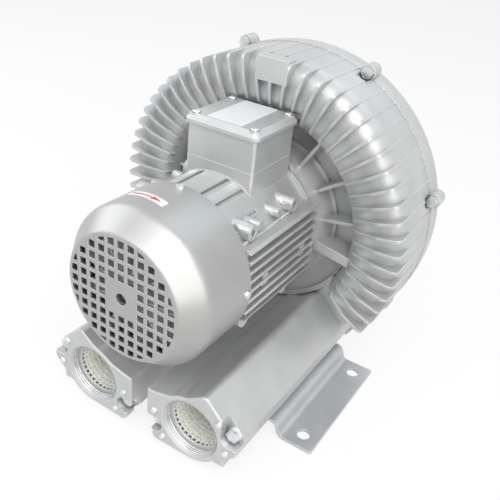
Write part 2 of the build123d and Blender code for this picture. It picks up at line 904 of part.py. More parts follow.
# Bolts through the lugs of the two halves, heads in front
with BuildPart() as cover_bolts:
    with BuildSketch(across(lug_front_y)):
        with Locations(*lug_places):
            RegularPolygon(cover_bolt_head_radius, 6)
    extrude(amount=cover_bolt_head_height)
    with BuildSketch(across(joint_y + rear_lug_depth)):
        with Locations(*lug_places):
            Circle(cover_bolt_radius)
    extrude(amount=joint_y + rear_lug_depth - lug_front_y)

cover_bolts.part.label = "cover_bolts"
export_step(cover_bolts.part, "parts/cover_bolts.step")

# Impeller: hub, dished disc, rim with a bucket on each side of the divider, and its vanes
with BuildPart() as impeller:
    with BuildSketch(turning_plane):
        with BuildLine():
            bucket_foot = impeller_rim_radius
            front_divider = impeller_mid_y - impeller_divider / 2
            rear_divider = impeller_mid_y + impeller_divider / 2
            front_disc = impeller_mid_y - impeller_disc_thickness / 2
            rear_disc = impeller_mid_y + impeller_disc_thickness / 2
            slant = impeller_bucket_radius * (1 - cos(radians(45)))
            Polyline(
                (front_divider - impeller_bucket_radius, bucket_foot),
                (impeller_front_y, bucket_foot),
                (impeller_front_y, bucket_foot - impeller_rim_wall),
                (front_disc, bucket_foot - 2 * impeller_rim_wall),
                (front_disc, impeller_hub_radius + impeller_rim_wall),
                (impeller_front_y, impeller_hub_radius),
                (impeller_front_y, impeller_seat_radius),
                (impeller_rear_y, impeller_seat_radius),
                (impeller_rear_y, impeller_hub_radius),
                (rear_disc, impeller_hub_radius + impeller_rim_wall),
                (rear_disc, bucket_foot - 2 * impeller_rim_wall),
                (impeller_rear_y, bucket_foot - impeller_rim_wall),
                (impeller_rear_y, bucket_foot),
                (rear_divider + impeller_bucket_radius, bucket_foot),
            )
            ThreePointArc(
                (rear_divider + impeller_bucket_radius, bucket_foot),
                (rear_divider + slant, bucket_foot + slant),
                (rear_divider, bucket_foot + impeller_bucket_radius),
            )
            Polyline(
                (rear_divider, bucket_foot + impeller_bucket_radius),
                (rear_divider, impeller_radius),
                (front_divider, impeller_radius),
                (front_divider, bucket_foot + impeller_bucket_radius),
            )
            ThreePointArc(
                (front_divider, bucket_foot + impeller_bucket_radius),
                (front_divider - slant, bucket_foot + slant),
                (front_divider - impeller_bucket_radius, bucket_foot),
            )
        make_face()
    revolve(axis=motor_axis)
    vane_height = impeller_radius - impeller_rim_radius + impeller_rim_wall / 2
    with BuildSketch(*[radial(360 * k / vane_count) for k in range(vane_count)]):
        with Locations((impeller_radius - vane_height / 2, impeller_mid_y)):
            Rectangle(vane_height, impeller_rear_y - impeller_front_y)
    extrude(amount=vane_thickness / 2, both=True)
    with BuildSketch(across(impeller_rear_y)):
        with PolarLocations(vent_reach, vent_count):
            Circle(vent_radius)
    extrude(amount=impeller_rear_y - impeller_front_y, mode=Mode.SUBTRACT)
    with BuildSketch(across(impeller_rear_y)):
        with Locations((0, impeller_seat_radius)):
            Rectangle(impeller_key_width, impeller_key_height)
    extrude(amount=impeller_rear_y - impeller_front_y, mode=Mode.SUBTRACT)

impeller.part.label = "impeller"
export_step(impeller.part, "parts/impeller.step")

# Motor shaft, turned in steps, with the keyway and the tapped hole for the impeller
shaft_shoulder_y = front_bearing_rear_y + front_shoulder_length
with BuildPart() as motor_shaft:
    with BuildSketch(turning_plane):
        with BuildLine():
            Polyline(
                (shaft_front_y, centre_hole_radius),
                (shaft_front_y, fan_seat_radius),
                (fan_rear_y, fan_seat_radius),
                (fan_rear_y, front_journal_radius),
                (front_bearing_rear_y, front_journal_radius),
                (front_bearing_rear_y, front_shoulder_radius),
                (shaft_shoulder_y, front_shoulder_radius),
                (shaft_shoulder_y, rotor_seat_radius),
                (rear_bearing_y, rotor_seat_radius),
                (rear_bearing_y, rear_journal_radius),
                (impeller_front_y, rear_journal_radius),
                (impeller_front_y, impeller_seat_radius),
                (shaft_rear_y, impeller_seat_radius),
                (shaft_rear_y, 0),
                (shaft_front_y + 2 * centre_hole_radius, 0),
                close=True,
            )
        make_face()
    revolve(axis=motor_axis)
    with BuildSketch(across(shaft_rear_y)):
        Circle(impeller_bolt_radius)
    extrude(amount=impeller_bolt_length, mode=Mode.SUBTRACT)
    with BuildSketch(across(impeller_front_y + impeller_key_length)):
        with Locations((0, impeller_seat_radius)):
            Rectangle(impeller_key_width, impeller_key_height)
    extrude(amount=impeller_key_length, mode=Mode.SUBTRACT)
    with BuildSketch(across(fan_rear_y - fan_depth)):
        Circle(fan_seat_radius)
        Circle(circlip_groove_radius, mode=Mode.SUBTRACT)
    extrude(amount=circlip_thickness, mode=Mode.SUBTRACT)

motor_shaft.part.label = "motor_shaft"
export_step(motor_shaft.part, "parts/motor_shaft.step")

with BuildPart() as impeller_key:
    with BuildSketch(across(impeller_front_y + impeller_key_length)):
        with Locations((0, impeller_seat_radius)):
            Rectangle(impeller_key_width, impeller_key_height)
    extrude(amount=impeller_key_length)

impeller_key.part.label = "impeller_key"
export_step(impeller_key.part, "parts/impeller_key.step")

impeller_washer = ring(
    impeller_rear_y + impeller_washer_thickness,
    impeller_washer_thickness,
    impeller_bolt_radius + hole_play,
    impeller_washer_radius,
)
impeller_washer.part.label = "impeller_washer"
export_step(impeller_washer.part, "parts/impeller_washer.step")

with BuildPart() as impeller_bolt:
    washer_rear_y = impeller_rear_y + impeller_washer_thickness
    with BuildSketch(across(washer_rear_y + impeller_bolt_head_height)):
        RegularPolygon(impeller_bolt_head_radius, 6)
    extrude(amount=impeller_bolt_head_height)
    with BuildSketch(across(washer_rear_y)):
        Circle(impeller_bolt_radius)
    extrude(amount=washer_rear_y - shaft_rear_y + impeller_bolt_length)

impeller_bolt.part.label = "impeller_bolt"
export_step(impeller_bolt.part, "parts/impeller_bolt.step")


# Deep groove ball bearing: outer ring, inner ring, and the balls joined by their cage.
def ball_bearing(front_y, width, bore, radius, ball, count):
    middle_y = front_y + width / 2
    pitch = (bore + radius) / 2
    land = ball * 0.6
    rings = []
    for inner, outer in ((pitch + land, radius), (bore, pitch - land)):
        with BuildPart() as race:
            with BuildSketch(across(front_y + width)):
                Circle(outer)
                Circle(inner, mode=Mode.SUBTRACT)
            extrude(amount=width)
            with BuildSketch(turning_plane):
                with Locations((middle_y, pitch)):
                    Circle(ball + race_play)
            revolve(axis=motor_axis, mode=Mode.SUBTRACT)
        rings.append(race)
    with BuildPart() as balls:
        with BuildSketch(across(middle_y + ball / 2)):
            Circle(pitch + land / 2)
            Circle(pitch - land / 2, mode=Mode.SUBTRACT)
        extrude(amount=ball)
        with Locations(across(middle_y)):
            with PolarLocations(pitch, count):
                Sphere(ball)
    return rings[0], rings[1], balls


front_bearing_outer, front_bearing_inner, front_bearing_balls = ball_bearing(
    front_bearing_y,
    front_bearing_width,
    front_journal_radius,
    front_bearing_radius,
    front_ball_radius,
    front_ball_count,
)
rear_bearing_outer, rear_bearing_inner, rear_bearing_balls = ball_bearing(
    rear_bearing_y,
    rear_bearing_width,
    rear_journal_radius,
    rear_bearing_radius,
    rear_ball_radius,
    rear_ball_count,
)
front_bearing_outer.part.label = "front_bearing_outer"
export_step(front_bearing_outer.part, "parts/front_bearing_outer.step")
front_bearing_inner.part.label = "front_bearing_inner"
export_step(front_bearing_inner.part, "parts/front_bearing_inner.step")
front_bearing_balls.part.label = "front_bearing_balls"
export_step(front_bearing_balls.part, "parts/front_bearing_balls.step")
rear_bearing_outer.part.label = "rear_bearing_outer"
export_step(rear_bearing_outer.part, "parts/rear_bearing_outer.step")
rear_bearing_inner.part.label = "rear_bearing_inner"
export_step(rear_bearing_inner.part, "parts/rear_bearing_inner.step")
rear_bearing_balls.part.label = "rear_bearing_balls"
export_step(rear_bearing_balls.part, "parts/rear_bearing_balls.step")

# Shaft seal between the motor and the impeller room
shaft_seal = ring(cavity_front_y, seal_width, rear_journal_radius + fit_play, seal_radius)
shaft_seal.part.label = "shaft_seal"
export_step(shaft_seal.part, "parts/shaft_seal.step")

# Spring washer that loads the front bearing
wave_washer = ring(
    front_bearing_y,
    wave_washer_thickness,
    front_shoulder_radius + seat_gap,
    front_bearing_radius - seat_gap,
)
wave_washer.part.label = "wave_washer"
export_step(wave_washer.part, "parts/wave_washer.step")

# Stator pack with open slots
with BuildPart() as stator_core:
    with BuildSketch(across(stator_rear_y)):
        Circle(frame_bore_radius - fit_play)
        Circle(stator_bore_radius, mode=Mode.SUBTRACT)
        with PolarLocations((slot_inner_radius + slot_outer_radius) / 2, slot_count):
            Rectangle(slot_outer_radius - slot_inner_radius, slot_width, mode=Mode.SUBTRACT)
    extrude(amount=stator_length)

stator_core.part.label = "stator_core"
export_step(stator_core.part, "parts/stator_core.step")

# Windings: a bar in each slot between two end turns
with BuildPart() as stator_winding:
    with BuildSketch(across(stator_rear_y + coil_overhang)):
        Circle(coil_outer_radius)
        Circle(coil_inner_radius, mode=Mode.SUBTRACT)
    extrude(amount=coil_overhang)
    with BuildSketch(across(stator_front_y)):
        Circle(coil_outer_radius)
        Circle(coil_inner_radius, mode=Mode.SUBTRACT)
    extrude(amount=coil_overhang)
    with BuildSketch(across(stator_rear_y)):
        with PolarLocations((slot_inner_radius + slot_outer_radius) / 2, slot_count):
            Rectangle(
                slot_outer_radius - slot_inner_radius - 2 * seat_gap, slot_width - 2 * seat_gap
            )
    extrude(amount=stator_length)

stator_winding.part.label = "stator_winding"
export_step(stator_winding.part, "parts/stator_winding.step")

# Rotor pack with its cast end rings
with BuildPart() as rotor_core:
    with BuildSketch(across(stator_rear_y)):
        Circle(stator_bore_radius - air_gap)
        Circle(rotor_seat_radius, mode=Mode.SUBTRACT)
    extrude(amount=stator_length)
    with BuildSketch(across(stator_rear_y + cage_ring_length)):
        Circle(cage_ring_radius)
        Circle(cage_ring_bore, mode=Mode.SUBTRACT)
    extrude(amount=stator_length + 2 * cage_ring_length)

rotor_core.part.label = "rotor_core"
export_step(rotor_core.part, "parts/rotor_core.step")

# Motor frame: finned tube with the pedestal of the terminal box and cast bosses
with BuildPart() as motor_frame:
    with BuildSketch(across(frame_rear_y)):
        Circle(frame_radius)
        with BuildSketch(mode=Mode.PRIVATE) as fins:
            with GridLocations(0, fin_pitch, 1, fin_count):
                Rectangle(2 * fin_tip_x, fin_thickness)
            Circle(fin_reach, mode=Mode.INTERSECT)
        add(fins.sketch)
        for side in (-1, 1):
            with Locations((side * (fin_root_x + frame_radius) / 2, 0)):
                with GridLocations(0, fin_pitch, 1, fin_count - 1):
                    Rectangle(frame_radius - fin_root_x, fin_pitch - fin_thickness, mode=Mode.SUBTRACT)
        with Locations((0, -(bottom_slot_root + frame_radius) / 2)):
            with GridLocations(fin_pitch, 0, bottom_slot_count, 1):
                Rectangle(
                    fin_pitch - fin_thickness, frame_radius - bottom_slot_root, mode=Mode.SUBTRACT
                )
    extrude(amount=frame_length)
    with BuildSketch(Plane.XY.offset(pedestal_top)) as pedestal:
        with Locations((0, box_mid_y)):
            Rectangle(2 * box_half_width, box_length)
        fillet(pedestal.vertices(), box_corner_radius)
    extrude(amount=-(pedestal_top - motor_axis_height - frame_bore_radius - casing_wall))
    with BuildSketch(Plane.XY.offset(pedestal_top - skirt_drop)) as skirt:
        with Locations((0, box_mid_y)):
            Rectangle(2 * box_half_width, box_length)
        fillet(skirt.vertices(), box_corner_radius)
    extrude(amount=-skirt_height, taper=-skirt_slope)
    with BuildSketch(across(frame_front_y + groove_length)):
        for x in groove_places:
            root = sqrt(groove_root**2 - x**2)
            with Locations((x, root)):
                Rectangle(groove_width, groove_depth, align=(Align.CENTER, Align.MIN))
    extrude(amount=groove_length, mode=Mode.SUBTRACT)
    boss_levels = (motor_axis_height + boss_height, motor_axis_height - boss_height)
    large_bosses = [(y, z) for y in large_boss_places for z in boss_levels]
    small_bosses = [(y, z) for y in small_boss_places for z in boss_levels]
    with BuildSketch(Plane.YZ.offset(-large_boss_reach)):
        with Locations(*large_bosses):
            Circle(large_boss_radius)
    extrude(amount=2 * large_boss_reach)
    with BuildSketch(Plane.YZ.offset(-small_boss_reach)):
        with Locations(*small_bosses):
            Circle(small_boss_radius)
    extrude(amount=2 * small_boss_reach)
    with BuildSketch(Plane.YZ.offset(-fin_lump_reach)):
        with Locations(*[(y, motor_axis_height - fin_lump_drop) for y in fin_lump_places]):
            Rectangle(fin_lump_length, fin_lump_height)
    extrude(amount=2 * fin_lump_reach)
    hole_floor = large_boss_reach - boss_hole_depth
    with BuildSketch(Plane.YZ.offset(-large_boss_reach), Plane.YZ.offset(hole_floor)):
        with Locations(*large_bosses):
            Circle(boss_hole_radius)
    extrude(amount=boss_hole_depth, mode=Mode.SUBTRACT)
    with BuildSketch(across(frame_rear_y)):
        Circle(frame_bore_radius)
    extrude(amount=frame_length, mode=Mode.SUBTRACT)
    with BuildSketch(across(frame_rear_y)):
        with Locations(*tie_bolt_places):
            Circle(tie_bolt_radius + hole_play)
    extrude(amount=frame_length, mode=Mode.SUBTRACT)
    wire_hole_y = box_rear_y - box_wall - wire_hole_width
    with BuildSketch(Plane.XY.offset(pedestal_top)):
        with Locations((0, wire_hole_y)):
            Rectangle(wire_hole_length, wire_hole_width)
    extrude(amount=-(pedestal_top - motor_axis_height), mode=Mode.SUBTRACT)

motor_frame.part.label = "motor_frame"
export_step(motor_frame.part, "parts/motor_frame.step")

# Planes on the wall of the fan cover, facing out, for its four screws
cover_screw_y = cover_rear_y - cover_screw_inset
cover_screw_planes = [
    Plane(
        origin=(fan_cover_radius * x, cover_screw_y, motor_axis_height + fan_cover_radius * z),
        x_dir=(0, 1, 0),
        z_dir=(x, 0, z),
    )
    for x, z in ((1, 0), (0, 1), (-1, 0), (0, -1))
]

# Shield that carries the front bearing and the fan cover
with BuildPart() as fan_end_shield:
    with BuildSketch(turning_plane):
        with BuildLine():
            Polyline(
                (shield_hub_front_y, front_shoulder_radius + running_gap),
                (shield_hub_front_y, shield_hub_radius),
                (shield_front_y, shield_hub_radius + shield_lip_thickness),
                (shield_front_y, shield_radius),
                (frame_front_y, shield_radius),
                (frame_front_y, frame_bore_radius - fit_play),
                (frame_front_y + spigot_length, frame_bore_radius - fit_play),
                (frame_front_y + spigot_length, frame_bore_radius - spigot_wall),
                (shield_front_y + shield_disc_thickness, frame_bore_radius - spigot_wall),
                (shield_front_y + shield_disc_thickness, front_bearing_radius + fit_play),
                (front_bearing_y - wave_washer_thickness, front_bearing_radius + fit_play),
                (front_bearing_y - wave_washer_thickness, front_shoulder_radius + running_gap),
                close=True,
            )
        make_face()
    revolve(axis=motor_axis)
    with BuildSketch(across(cover_screw_y + shield_pad_width / 2)):
        with PolarLocations(shield_radius, 4):
            Rectangle(2 * shield_pad_width, shield_pad_width)
        Circle(fan_cover_radius - fan_cover_sheet - seat_gap, mode=Mode.INTERSECT)
        Circle(shield_radius - shield_pad_width / 2, mode=Mode.SUBTRACT)
    extrude(amount=shield_pad_width)
    with BuildSketch(across(frame_front_y)):
        with Locations(*tie_bolt_places):
            Circle(tie_bolt_radius + hole_play)
    extrude(amount=shield_rim_width, mode=Mode.SUBTRACT)
    with BuildSketch(*cover_screw_planes):
        Circle(cover_screw_radius)
    extrude(amount=-cover_screw_length, mode=Mode.SUBTRACT)

fan_end_shield.part.label = "fan_end_shield"
export_step(fan_end_shield.part, "parts/fan_end_shield.step")

# Bolts that clamp the shield and the frame to the neck of the casing
with BuildPart() as tie_bolts:
    with BuildSketch(across(shield_front_y)):
        with Locations(*tie_bolt_places):
            Circle(tie_bolt_head_radius)
    extrude(amount=tie_bolt_head_height)
    with BuildSketch(across(frame_rear_y + tie_bolt_grip)):
        with Locations(*tie_bolt_places):
            Circle(tie_bolt_radius)
    extrude(amount=frame_rear_y + tie_bolt_grip - shield_front_y)

tie_bolts.part.label = "tie_bolts"
export_step(tie_bolts.part, "parts/tie_bolts.step")

# Fan cover: a drawn cup with a grille of square holes
with BuildPart() as fan_cover:
    with BuildSketch(turning_plane):
        with BuildLine():
            shoulder_y = cover_front_y + fan_cover_shoulder_depth
            FilletPolyline(
                (cover_front_y, 0),
                (cover_front_y, fan_cover_face_radius),
                (shoulder_y, fan_cover_radius),
                (cover_rear_y, fan_cover_radius),
                radius=[fan_cover_face_edge, fan_cover_shoulder_edge],
            )
            Polyline((cover_rear_y, fan_cover_radius), (cover_rear_y, 0), (cover_front_y, 0))
        make_face()
    revolve(axis=motor_axis)
    open_end = fan_cover.faces().sort_by(Axis.Y)[-1]
    offset(amount=-fan_cover_sheet, openings=open_end)
    with BuildSketch(*cover_screw_planes):
        Circle(cover_screw_radius + hole_play)
    extrude(amount=-2 * fan_cover_sheet, mode=Mode.SUBTRACT)
    half_count = grille_count // 2
    cells = [
        (column * grille_pitch, row * grille_pitch)
        for column in range(-half_count, half_count + 1)
        for row in range(-half_count, half_count + 1)
        if max(abs(column), abs(row)) > grille_blank
        and sqrt(column**2 + row**2) * grille_pitch < grille_radius + grille_hole / 3
    ]
    with BuildSketch(across(cover_front_y + fan_cover_sheet)):
        with Locations(*cells):
            Rectangle(grille_hole, grille_hole)
        Circle(grille_radius, mode=Mode.INTERSECT)
        Circle(grille_centre_radius)
    extrude(amount=fan_cover_sheet, mode=Mode.SUBTRACT)

fan_cover.part.label = "fan_cover"
export_step(fan_cover.part, "parts/fan_cover.step")

with BuildPart() as fan_cover_screws:
    with BuildSketch(*cover_screw_planes):
        Circle(cover_screw_radius)
    extrude(amount=-cover_screw_length)
    with BuildSketch(*cover_screw_planes):
        Circle(cover_screw_head_radius)
    extrude(amount=cover_screw_head_height, taper=15)

fan_cover_screws.part.label = "fan_cover_screws"
export_step(fan_cover_screws.part, "parts/fan_cover_screws.step")

# Cooling fan with straight radial blades for either direction
fan_front_y = fan_rear_y - fan_depth
with BuildPart() as cooling_fan:
    with BuildSketch(across(fan_rear_y)):
        Circle(fan_radius)
    extrude(amount=fan_disc_thickness)
    with BuildSketch(across(fan_rear_y)):
        Circle(fan_hub_radius)
    extrude(amount=fan_depth)
    with BuildSketch(*[radial(360 * k / fan_blade_count) for k in range(fan_blade_count)]):
        with BuildLine():
            Polyline(
                (fan_hub_radius - 2, fan_rear_y),
                (fan_radius, fan_rear_y),
                (fan_radius, fan_front_y + fan_blade_nose_depth),
                (fan_blade_nose_radius, fan_front_y),
                (fan_hub_radius - 2, fan_front_y),
                close=True,
            )
        make_face()
    extrude(amount=fan_blade_thickness / 2, both=True)
    with BuildSketch(across(fan_rear_y)):
        Circle(fan_seat_radius)
    extrude(amount=fan_depth, mode=Mode.SUBTRACT)

cooling_fan.part.label = "cooling_fan"
export_step(cooling_fan.part, "parts/cooling_fan.step")

fan_circlip = ring(fan_front_y, circlip_thickness, circlip_groove_radius, circlip_radius)
fan_circlip.part.label = "fan_circlip"
export_step(fan_circlip.part, "parts/fan_circlip.step")


# Rounded rectangle about the middle of the terminal box, grown or shrunk by a margin.
def box_outline(margin, corner):
    with BuildSketch(Plane.XY) as outline:
        with Locations((0, box_mid_y)):
            Rectangle(2 * (box_half_width + margin), box_length + 2 * margin)
        fillet(outline.vertices(), corner)
    return outline.sketch


# Terminal box: gasket, walls with four pillars, gasket and lid
with BuildPart() as box_gasket_ring:
    with BuildSketch(Plane.XY.offset(pedestal_top)):
        add(box_outline(0, box_corner_radius))
        add(box_outline(-box_wall, box_inner_corner), mode=Mode.SUBTRACT)
    extrude(amount=box_gasket)

box_gasket_ring.part.label = "box_gasket"
export_step(box_gasket_ring.part, "parts/box_gasket.step")

with BuildPart() as terminal_box:
    with BuildSketch(Plane.XY.offset(box_floor)):
        add(box_outline(0, box_corner_radius))
        add(box_outline(-box_wall, box_inner_corner), mode=Mode.SUBTRACT)
        with Locations((0, box_mid_y)):
            with GridLocations(2 * lid_screw_x, 2 * lid_screw_y, 2, 2):
                Circle(box_pillar_radius)
    extrude(amount=box_top - box_floor)
    with BuildSketch(Plane.XY.offset(box_top)):
        with Locations((0, box_mid_y)):
            with GridLocations(2 * lid_screw_x, 2 * lid_screw_y, 2, 2):
                Circle(lid_screw_radius)
    extrude(amount=-lid_screw_length, mode=Mode.SUBTRACT)
    with BuildSketch(Plane.YZ.offset(-box_half_width)):
        with Locations((box_mid_y, gland_height)):
            Circle(gland_thread_radius + fit_play)
    extrude(amount=box_wall, mode=Mode.SUBTRACT)

terminal_box.part.label = "terminal_box"
export_step(terminal_box.part, "parts/terminal_box.step")

with BuildPart() as lid_gasket:
    with BuildSketch(Plane.XY.offset(box_top)):
        add(box_outline(-lid_gasket_inset, box_corner_radius))
        add(box_outline(-box_wall, box_inner_corner), mode=Mode.SUBTRACT)
        with Locations((0, box_mid_y)):
            with GridLocations(2 * lid_screw_x, 2 * lid_screw_y, 2, 2):
                Circle(box_pillar_radius)
                Circle(lid_screw_radius + hole_play, mode=Mode.SUBTRACT)
    extrude(amount=lid_gasket_thickness)

lid_gasket.part.label = "lid_gasket"
export_step(lid_gasket.part, "parts/lid_gasket.step")

with BuildPart() as terminal_box_lid:
    with BuildSketch(Plane.XY.offset(lid_bottom)):
        add(box_outline(lid_overhang, lid_corner_radius + lid_overhang))
    extrude(amount=lid_thickness)
    chamfer(terminal_box_lid.faces().sort_by(Axis.Z)[-1].edges(), lid_bevel)
    with BuildSketch(Plane.XY.offset(lid_bottom)):
        with Locations((0, box_mid_y)):
            with GridLocations(2 * lid_screw_x, 2 * lid_screw_y, 2, 2):
                Circle(lid_boss_radius)
    extrude(amount=lid_thickness)
    with BuildSketch(Plane.XY.offset(lid_bottom)):
        add(box_outline(-box_wall - lid_screw_inset, box_inner_corner))
    extrude(amount=lid_thickness - lid_plate, mode=Mode.SUBTRACT)
    with BuildSketch(Plane.XY.offset(lid_bottom)):
        with Locations((0, box_mid_y)):
            with GridLocations(2 * lid_screw_x, 2 * lid_screw_y, 2, 2):
                Circle(lid_screw_radius + hole_play)
    extrude(amount=lid_thickness, mode=Mode.SUBTRACT)
    with BuildSketch(Plane.XY.offset(lid_top)):
        with Locations((0, box_mid_y)):
            with GridLocations(2 * lid_screw_x, 2 * lid_screw_y, 2, 2):
                Circle(lid_screw_recess_radius)
    extrude(amount=-lid_screw_recess, mode=Mode.SUBTRACT)

terminal_box_lid.part.label = "terminal_box_lid"
export_step(terminal_box_lid.part, "parts/terminal_box_lid.step")

with BuildPart() as lid_screws:
    with BuildSketch(Plane.XY.offset(lid_bottom + lid_seat)):
        with Locations((0, box_mid_y)):
            with GridLocations(2 * lid_screw_x, 2 * lid_screw_y, 2, 2):
                Circle(lid_screw_head_radius)
    extrude(amount=lid_screw_head_height)
    fillet(lid_screws.edges().group_by(Axis.Z)[-1], lid_screw_head_edge)
    with BuildSketch(Plane.XY.offset(lid_bottom + lid_seat)):
        with Locations((0, box_mid_y)):
            with GridLocations(2 * lid_screw_x, 2 * lid_screw_y, 2, 2):
                Circle(lid_screw_radius)
    extrude(amount=-(lid_seat + lid_gasket_thickness + lid_screw_length))

lid_screws.part.label = "lid_screws"
export_step(lid_screws.part, "parts/lid_screws.step")

# Terminal block with six studs and three links, and the earth screw beside it
block_y = box_front_y + box_wall + lid_screw_inset + block_width / 2
with BuildPart() as terminal_block:
    with BuildSketch(Plane.XY.offset(pedestal_top)):
        with Locations((0, block_y)):
            Rectangle(block_length, block_width)
    extrude(amount=block_height)
    with BuildSketch(Plane.XY.offset(pedestal_top + block_height)):
        with Locations((0, block_y)):
            with GridLocations(stud_pitch_x, stud_pitch_y, 3, 2):
                Circle(stud_radius)
    extrude(amount=-block_height / 2, mode=Mode.SUBTRACT)

terminal_block.part.label = "terminal_block"
export_step(terminal_block.part, "parts/terminal_block.step")

with BuildPart() as terminal_studs:
    with BuildSketch(Plane.XY.offset(pedestal_top + block_height / 2)):
        with Locations((0, block_y)):
            with GridLocations(stud_pitch_x, stud_pitch_y, 3, 2):
                Circle(stud_radius)
    extrude(amount=stud_height)
    with BuildSketch(Plane.XY.offset(pedestal_top + block_height + link_thickness)):
        with Locations((0, block_y)):
            with GridLocations(stud_pitch_x, stud_pitch_y, 3, 2):
                RegularPolygon(stud_nut_radius, 6)
    extrude(amount=stud_nut_height)

terminal_studs.part.label = "terminal_studs"
export_step(terminal_studs.part, "parts/terminal_studs.step")

with BuildPart() as terminal_links:
    with BuildSketch(Plane.XY.offset(pedestal_top + block_height)):
        with Locations((0, block_y)):
            with GridLocations(stud_pitch_x, 0, 3, 1):
                Rectangle(link_width, stud_pitch_y + link_width)
            with GridLocations(stud_pitch_x, stud_pitch_y, 3, 2):
                Circle(stud_radius + hole_play, mode=Mode.SUBTRACT)
    extrude(amount=link_thickness)

terminal_links.part.label = "terminal_links"
export_step(terminal_links.part, "parts/terminal_links.step")

with BuildPart() as earth_screw:
    with BuildSketch(Plane.XY.offset(pedestal_top)):
        with Locations((earth_screw_x, wire_hole_y)):
            Circle(earth_screw_radius)
    extrude(amount=earth_screw_height)

earth_screw.part.label = "earth_screw"
export_step(earth_screw.part, "parts/earth_screw.step")

# Cable gland in the left wall of the box, with its clamping nut outside
with BuildPart() as cable_gland:
    with BuildSketch(Plane.YZ.offset(-box_half_width)):
        with Locations((box_mid_y, gland_height)):
            RegularPolygon(gland_hex_radius, 6)
    extrude(amount=-gland_hex_length)
    with BuildSketch(Plane.YZ.offset(-box_half_width - gland_hex_length)):
        with Locations((box_mid_y, gland_height)):
            Circle(gland_thread_radius)
    extrude(amount=gland_hex_length + 2 * box_wall)
    with BuildSketch(Plane.YZ.offset(-box_half_width - gland_hex_length)):
        with Locations((box_mid_y, gland_height)):
            Circle(gland_bore_radius)
    extrude(amount=gland_hex_length + 2 * box_wall, mode=Mode.SUBTRACT)

cable_gland.part.label = "cable_gland"
export_step(cable_gland.part, "parts/cable_gland.step")

with BuildPart() as gland_nut:
    with BuildSketch(Plane.YZ.offset(-box_half_width - gland_hex_length)):
        with Locations((box_mid_y, gland_height)):
            Circle(gland_nut_radius)
    extrude(amount=-gland_nut_length)
    chamfer(gland_nut.faces().sort_by(Axis.X)[0].edges(), gland_nut_bevel)
    with BuildSketch(Plane.YZ.offset(-box_half_width - gland_hex_length)):
        with Locations((box_mid_y, gland_height)):
            Circle(gland_bore_radius)
    extrude(amount=-gland_nut_length, mode=Mode.SUBTRACT)

gland_nut.part.label = "gland_nut"
export_step(gland_nut.part, "parts/gland_nut.step")
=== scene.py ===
import json
from math import cos, pi, radians, sin

import bpy
from mathutils import Matrix, Vector


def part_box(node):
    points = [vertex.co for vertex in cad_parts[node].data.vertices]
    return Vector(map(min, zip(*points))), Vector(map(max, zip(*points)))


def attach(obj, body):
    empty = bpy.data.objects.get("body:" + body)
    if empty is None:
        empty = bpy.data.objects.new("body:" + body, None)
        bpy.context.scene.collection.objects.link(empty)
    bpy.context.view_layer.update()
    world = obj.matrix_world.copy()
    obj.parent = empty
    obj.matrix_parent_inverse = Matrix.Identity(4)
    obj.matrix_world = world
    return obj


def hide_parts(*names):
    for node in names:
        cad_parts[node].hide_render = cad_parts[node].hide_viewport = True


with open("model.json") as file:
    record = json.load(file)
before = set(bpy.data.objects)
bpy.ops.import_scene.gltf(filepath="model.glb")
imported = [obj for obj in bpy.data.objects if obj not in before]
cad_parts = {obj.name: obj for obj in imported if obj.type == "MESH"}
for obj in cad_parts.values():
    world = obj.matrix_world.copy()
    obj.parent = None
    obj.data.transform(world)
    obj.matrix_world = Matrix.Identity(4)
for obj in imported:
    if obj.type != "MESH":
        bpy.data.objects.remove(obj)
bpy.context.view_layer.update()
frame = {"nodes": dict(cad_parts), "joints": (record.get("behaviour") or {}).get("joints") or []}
nodes = frame["nodes"]
axisHeight = frame["joints"][0]["pos_m"][2]  # of the motor's axis

# Camera, found from the photo's circles and straight edges, with angles in degrees
view = {
    "eye": (0.2892, -0.4888, 0.4733),
    "yaw": 29.3,
    "pitch": -30.6,
    "roll": 6.4,
    "lens": 46.29,
    "sensor": 36,
    "nearest": 0.02,
    "farthest": 60,
}


def makeCamera():
    yaw, pitch, roll = (radians(view[k]) for k in ("yaw", "pitch", "roll"))
    ahead = Vector((-sin(yaw) * cos(pitch), cos(yaw) * cos(pitch), sin(pitch)))
    right = ahead.cross(Vector((0, 0, 1))).normalized()
    up = right.cross(ahead)
    turnedRight = right * cos(roll) + up * sin(roll)
    turnedUp = up * cos(roll) - right * sin(roll)
    lens = bpy.data.cameras.new("camera")
    lens.lens = view["lens"]
    lens.sensor_width = view["sensor"]
    lens.clip_start = view["nearest"]
    lens.clip_end = view["farthest"]
    camera = bpy.data.objects.new("camera", lens)
    place = Matrix((turnedRight, turnedUp, -ahead)).transposed().to_4x4()
    place.translation = Vector(view["eye"])
    camera.matrix_world = place
    bpy.context.scene.collection.objects.link(camera)
    bpy.context.scene.camera = camera


makeCamera()
print("camera set")


# A wire is one output of a shader node, and sums on wires add Math nodes
class Wire:
    def __init__(self, shading, socket):
        self.shading = shading
        self.socket = socket

    def sum(self, operation, *values):
        settings = {"operation": operation}
        return self.shading.node("ShaderNodeMath", settings, dict(enumerate(values)))

    def __add__(self, other):
        return self.sum("ADD", self, other)

    def __sub__(self, other):
        return self.sum("SUBTRACT", self, other)

    def __rsub__(self, other):
        return self.sum("SUBTRACT", other, self)

    def __mul__(self, other):
        return self.sum("MULTIPLY", self, other)

    __radd__ = __add__
    __rmul__ = __mul__


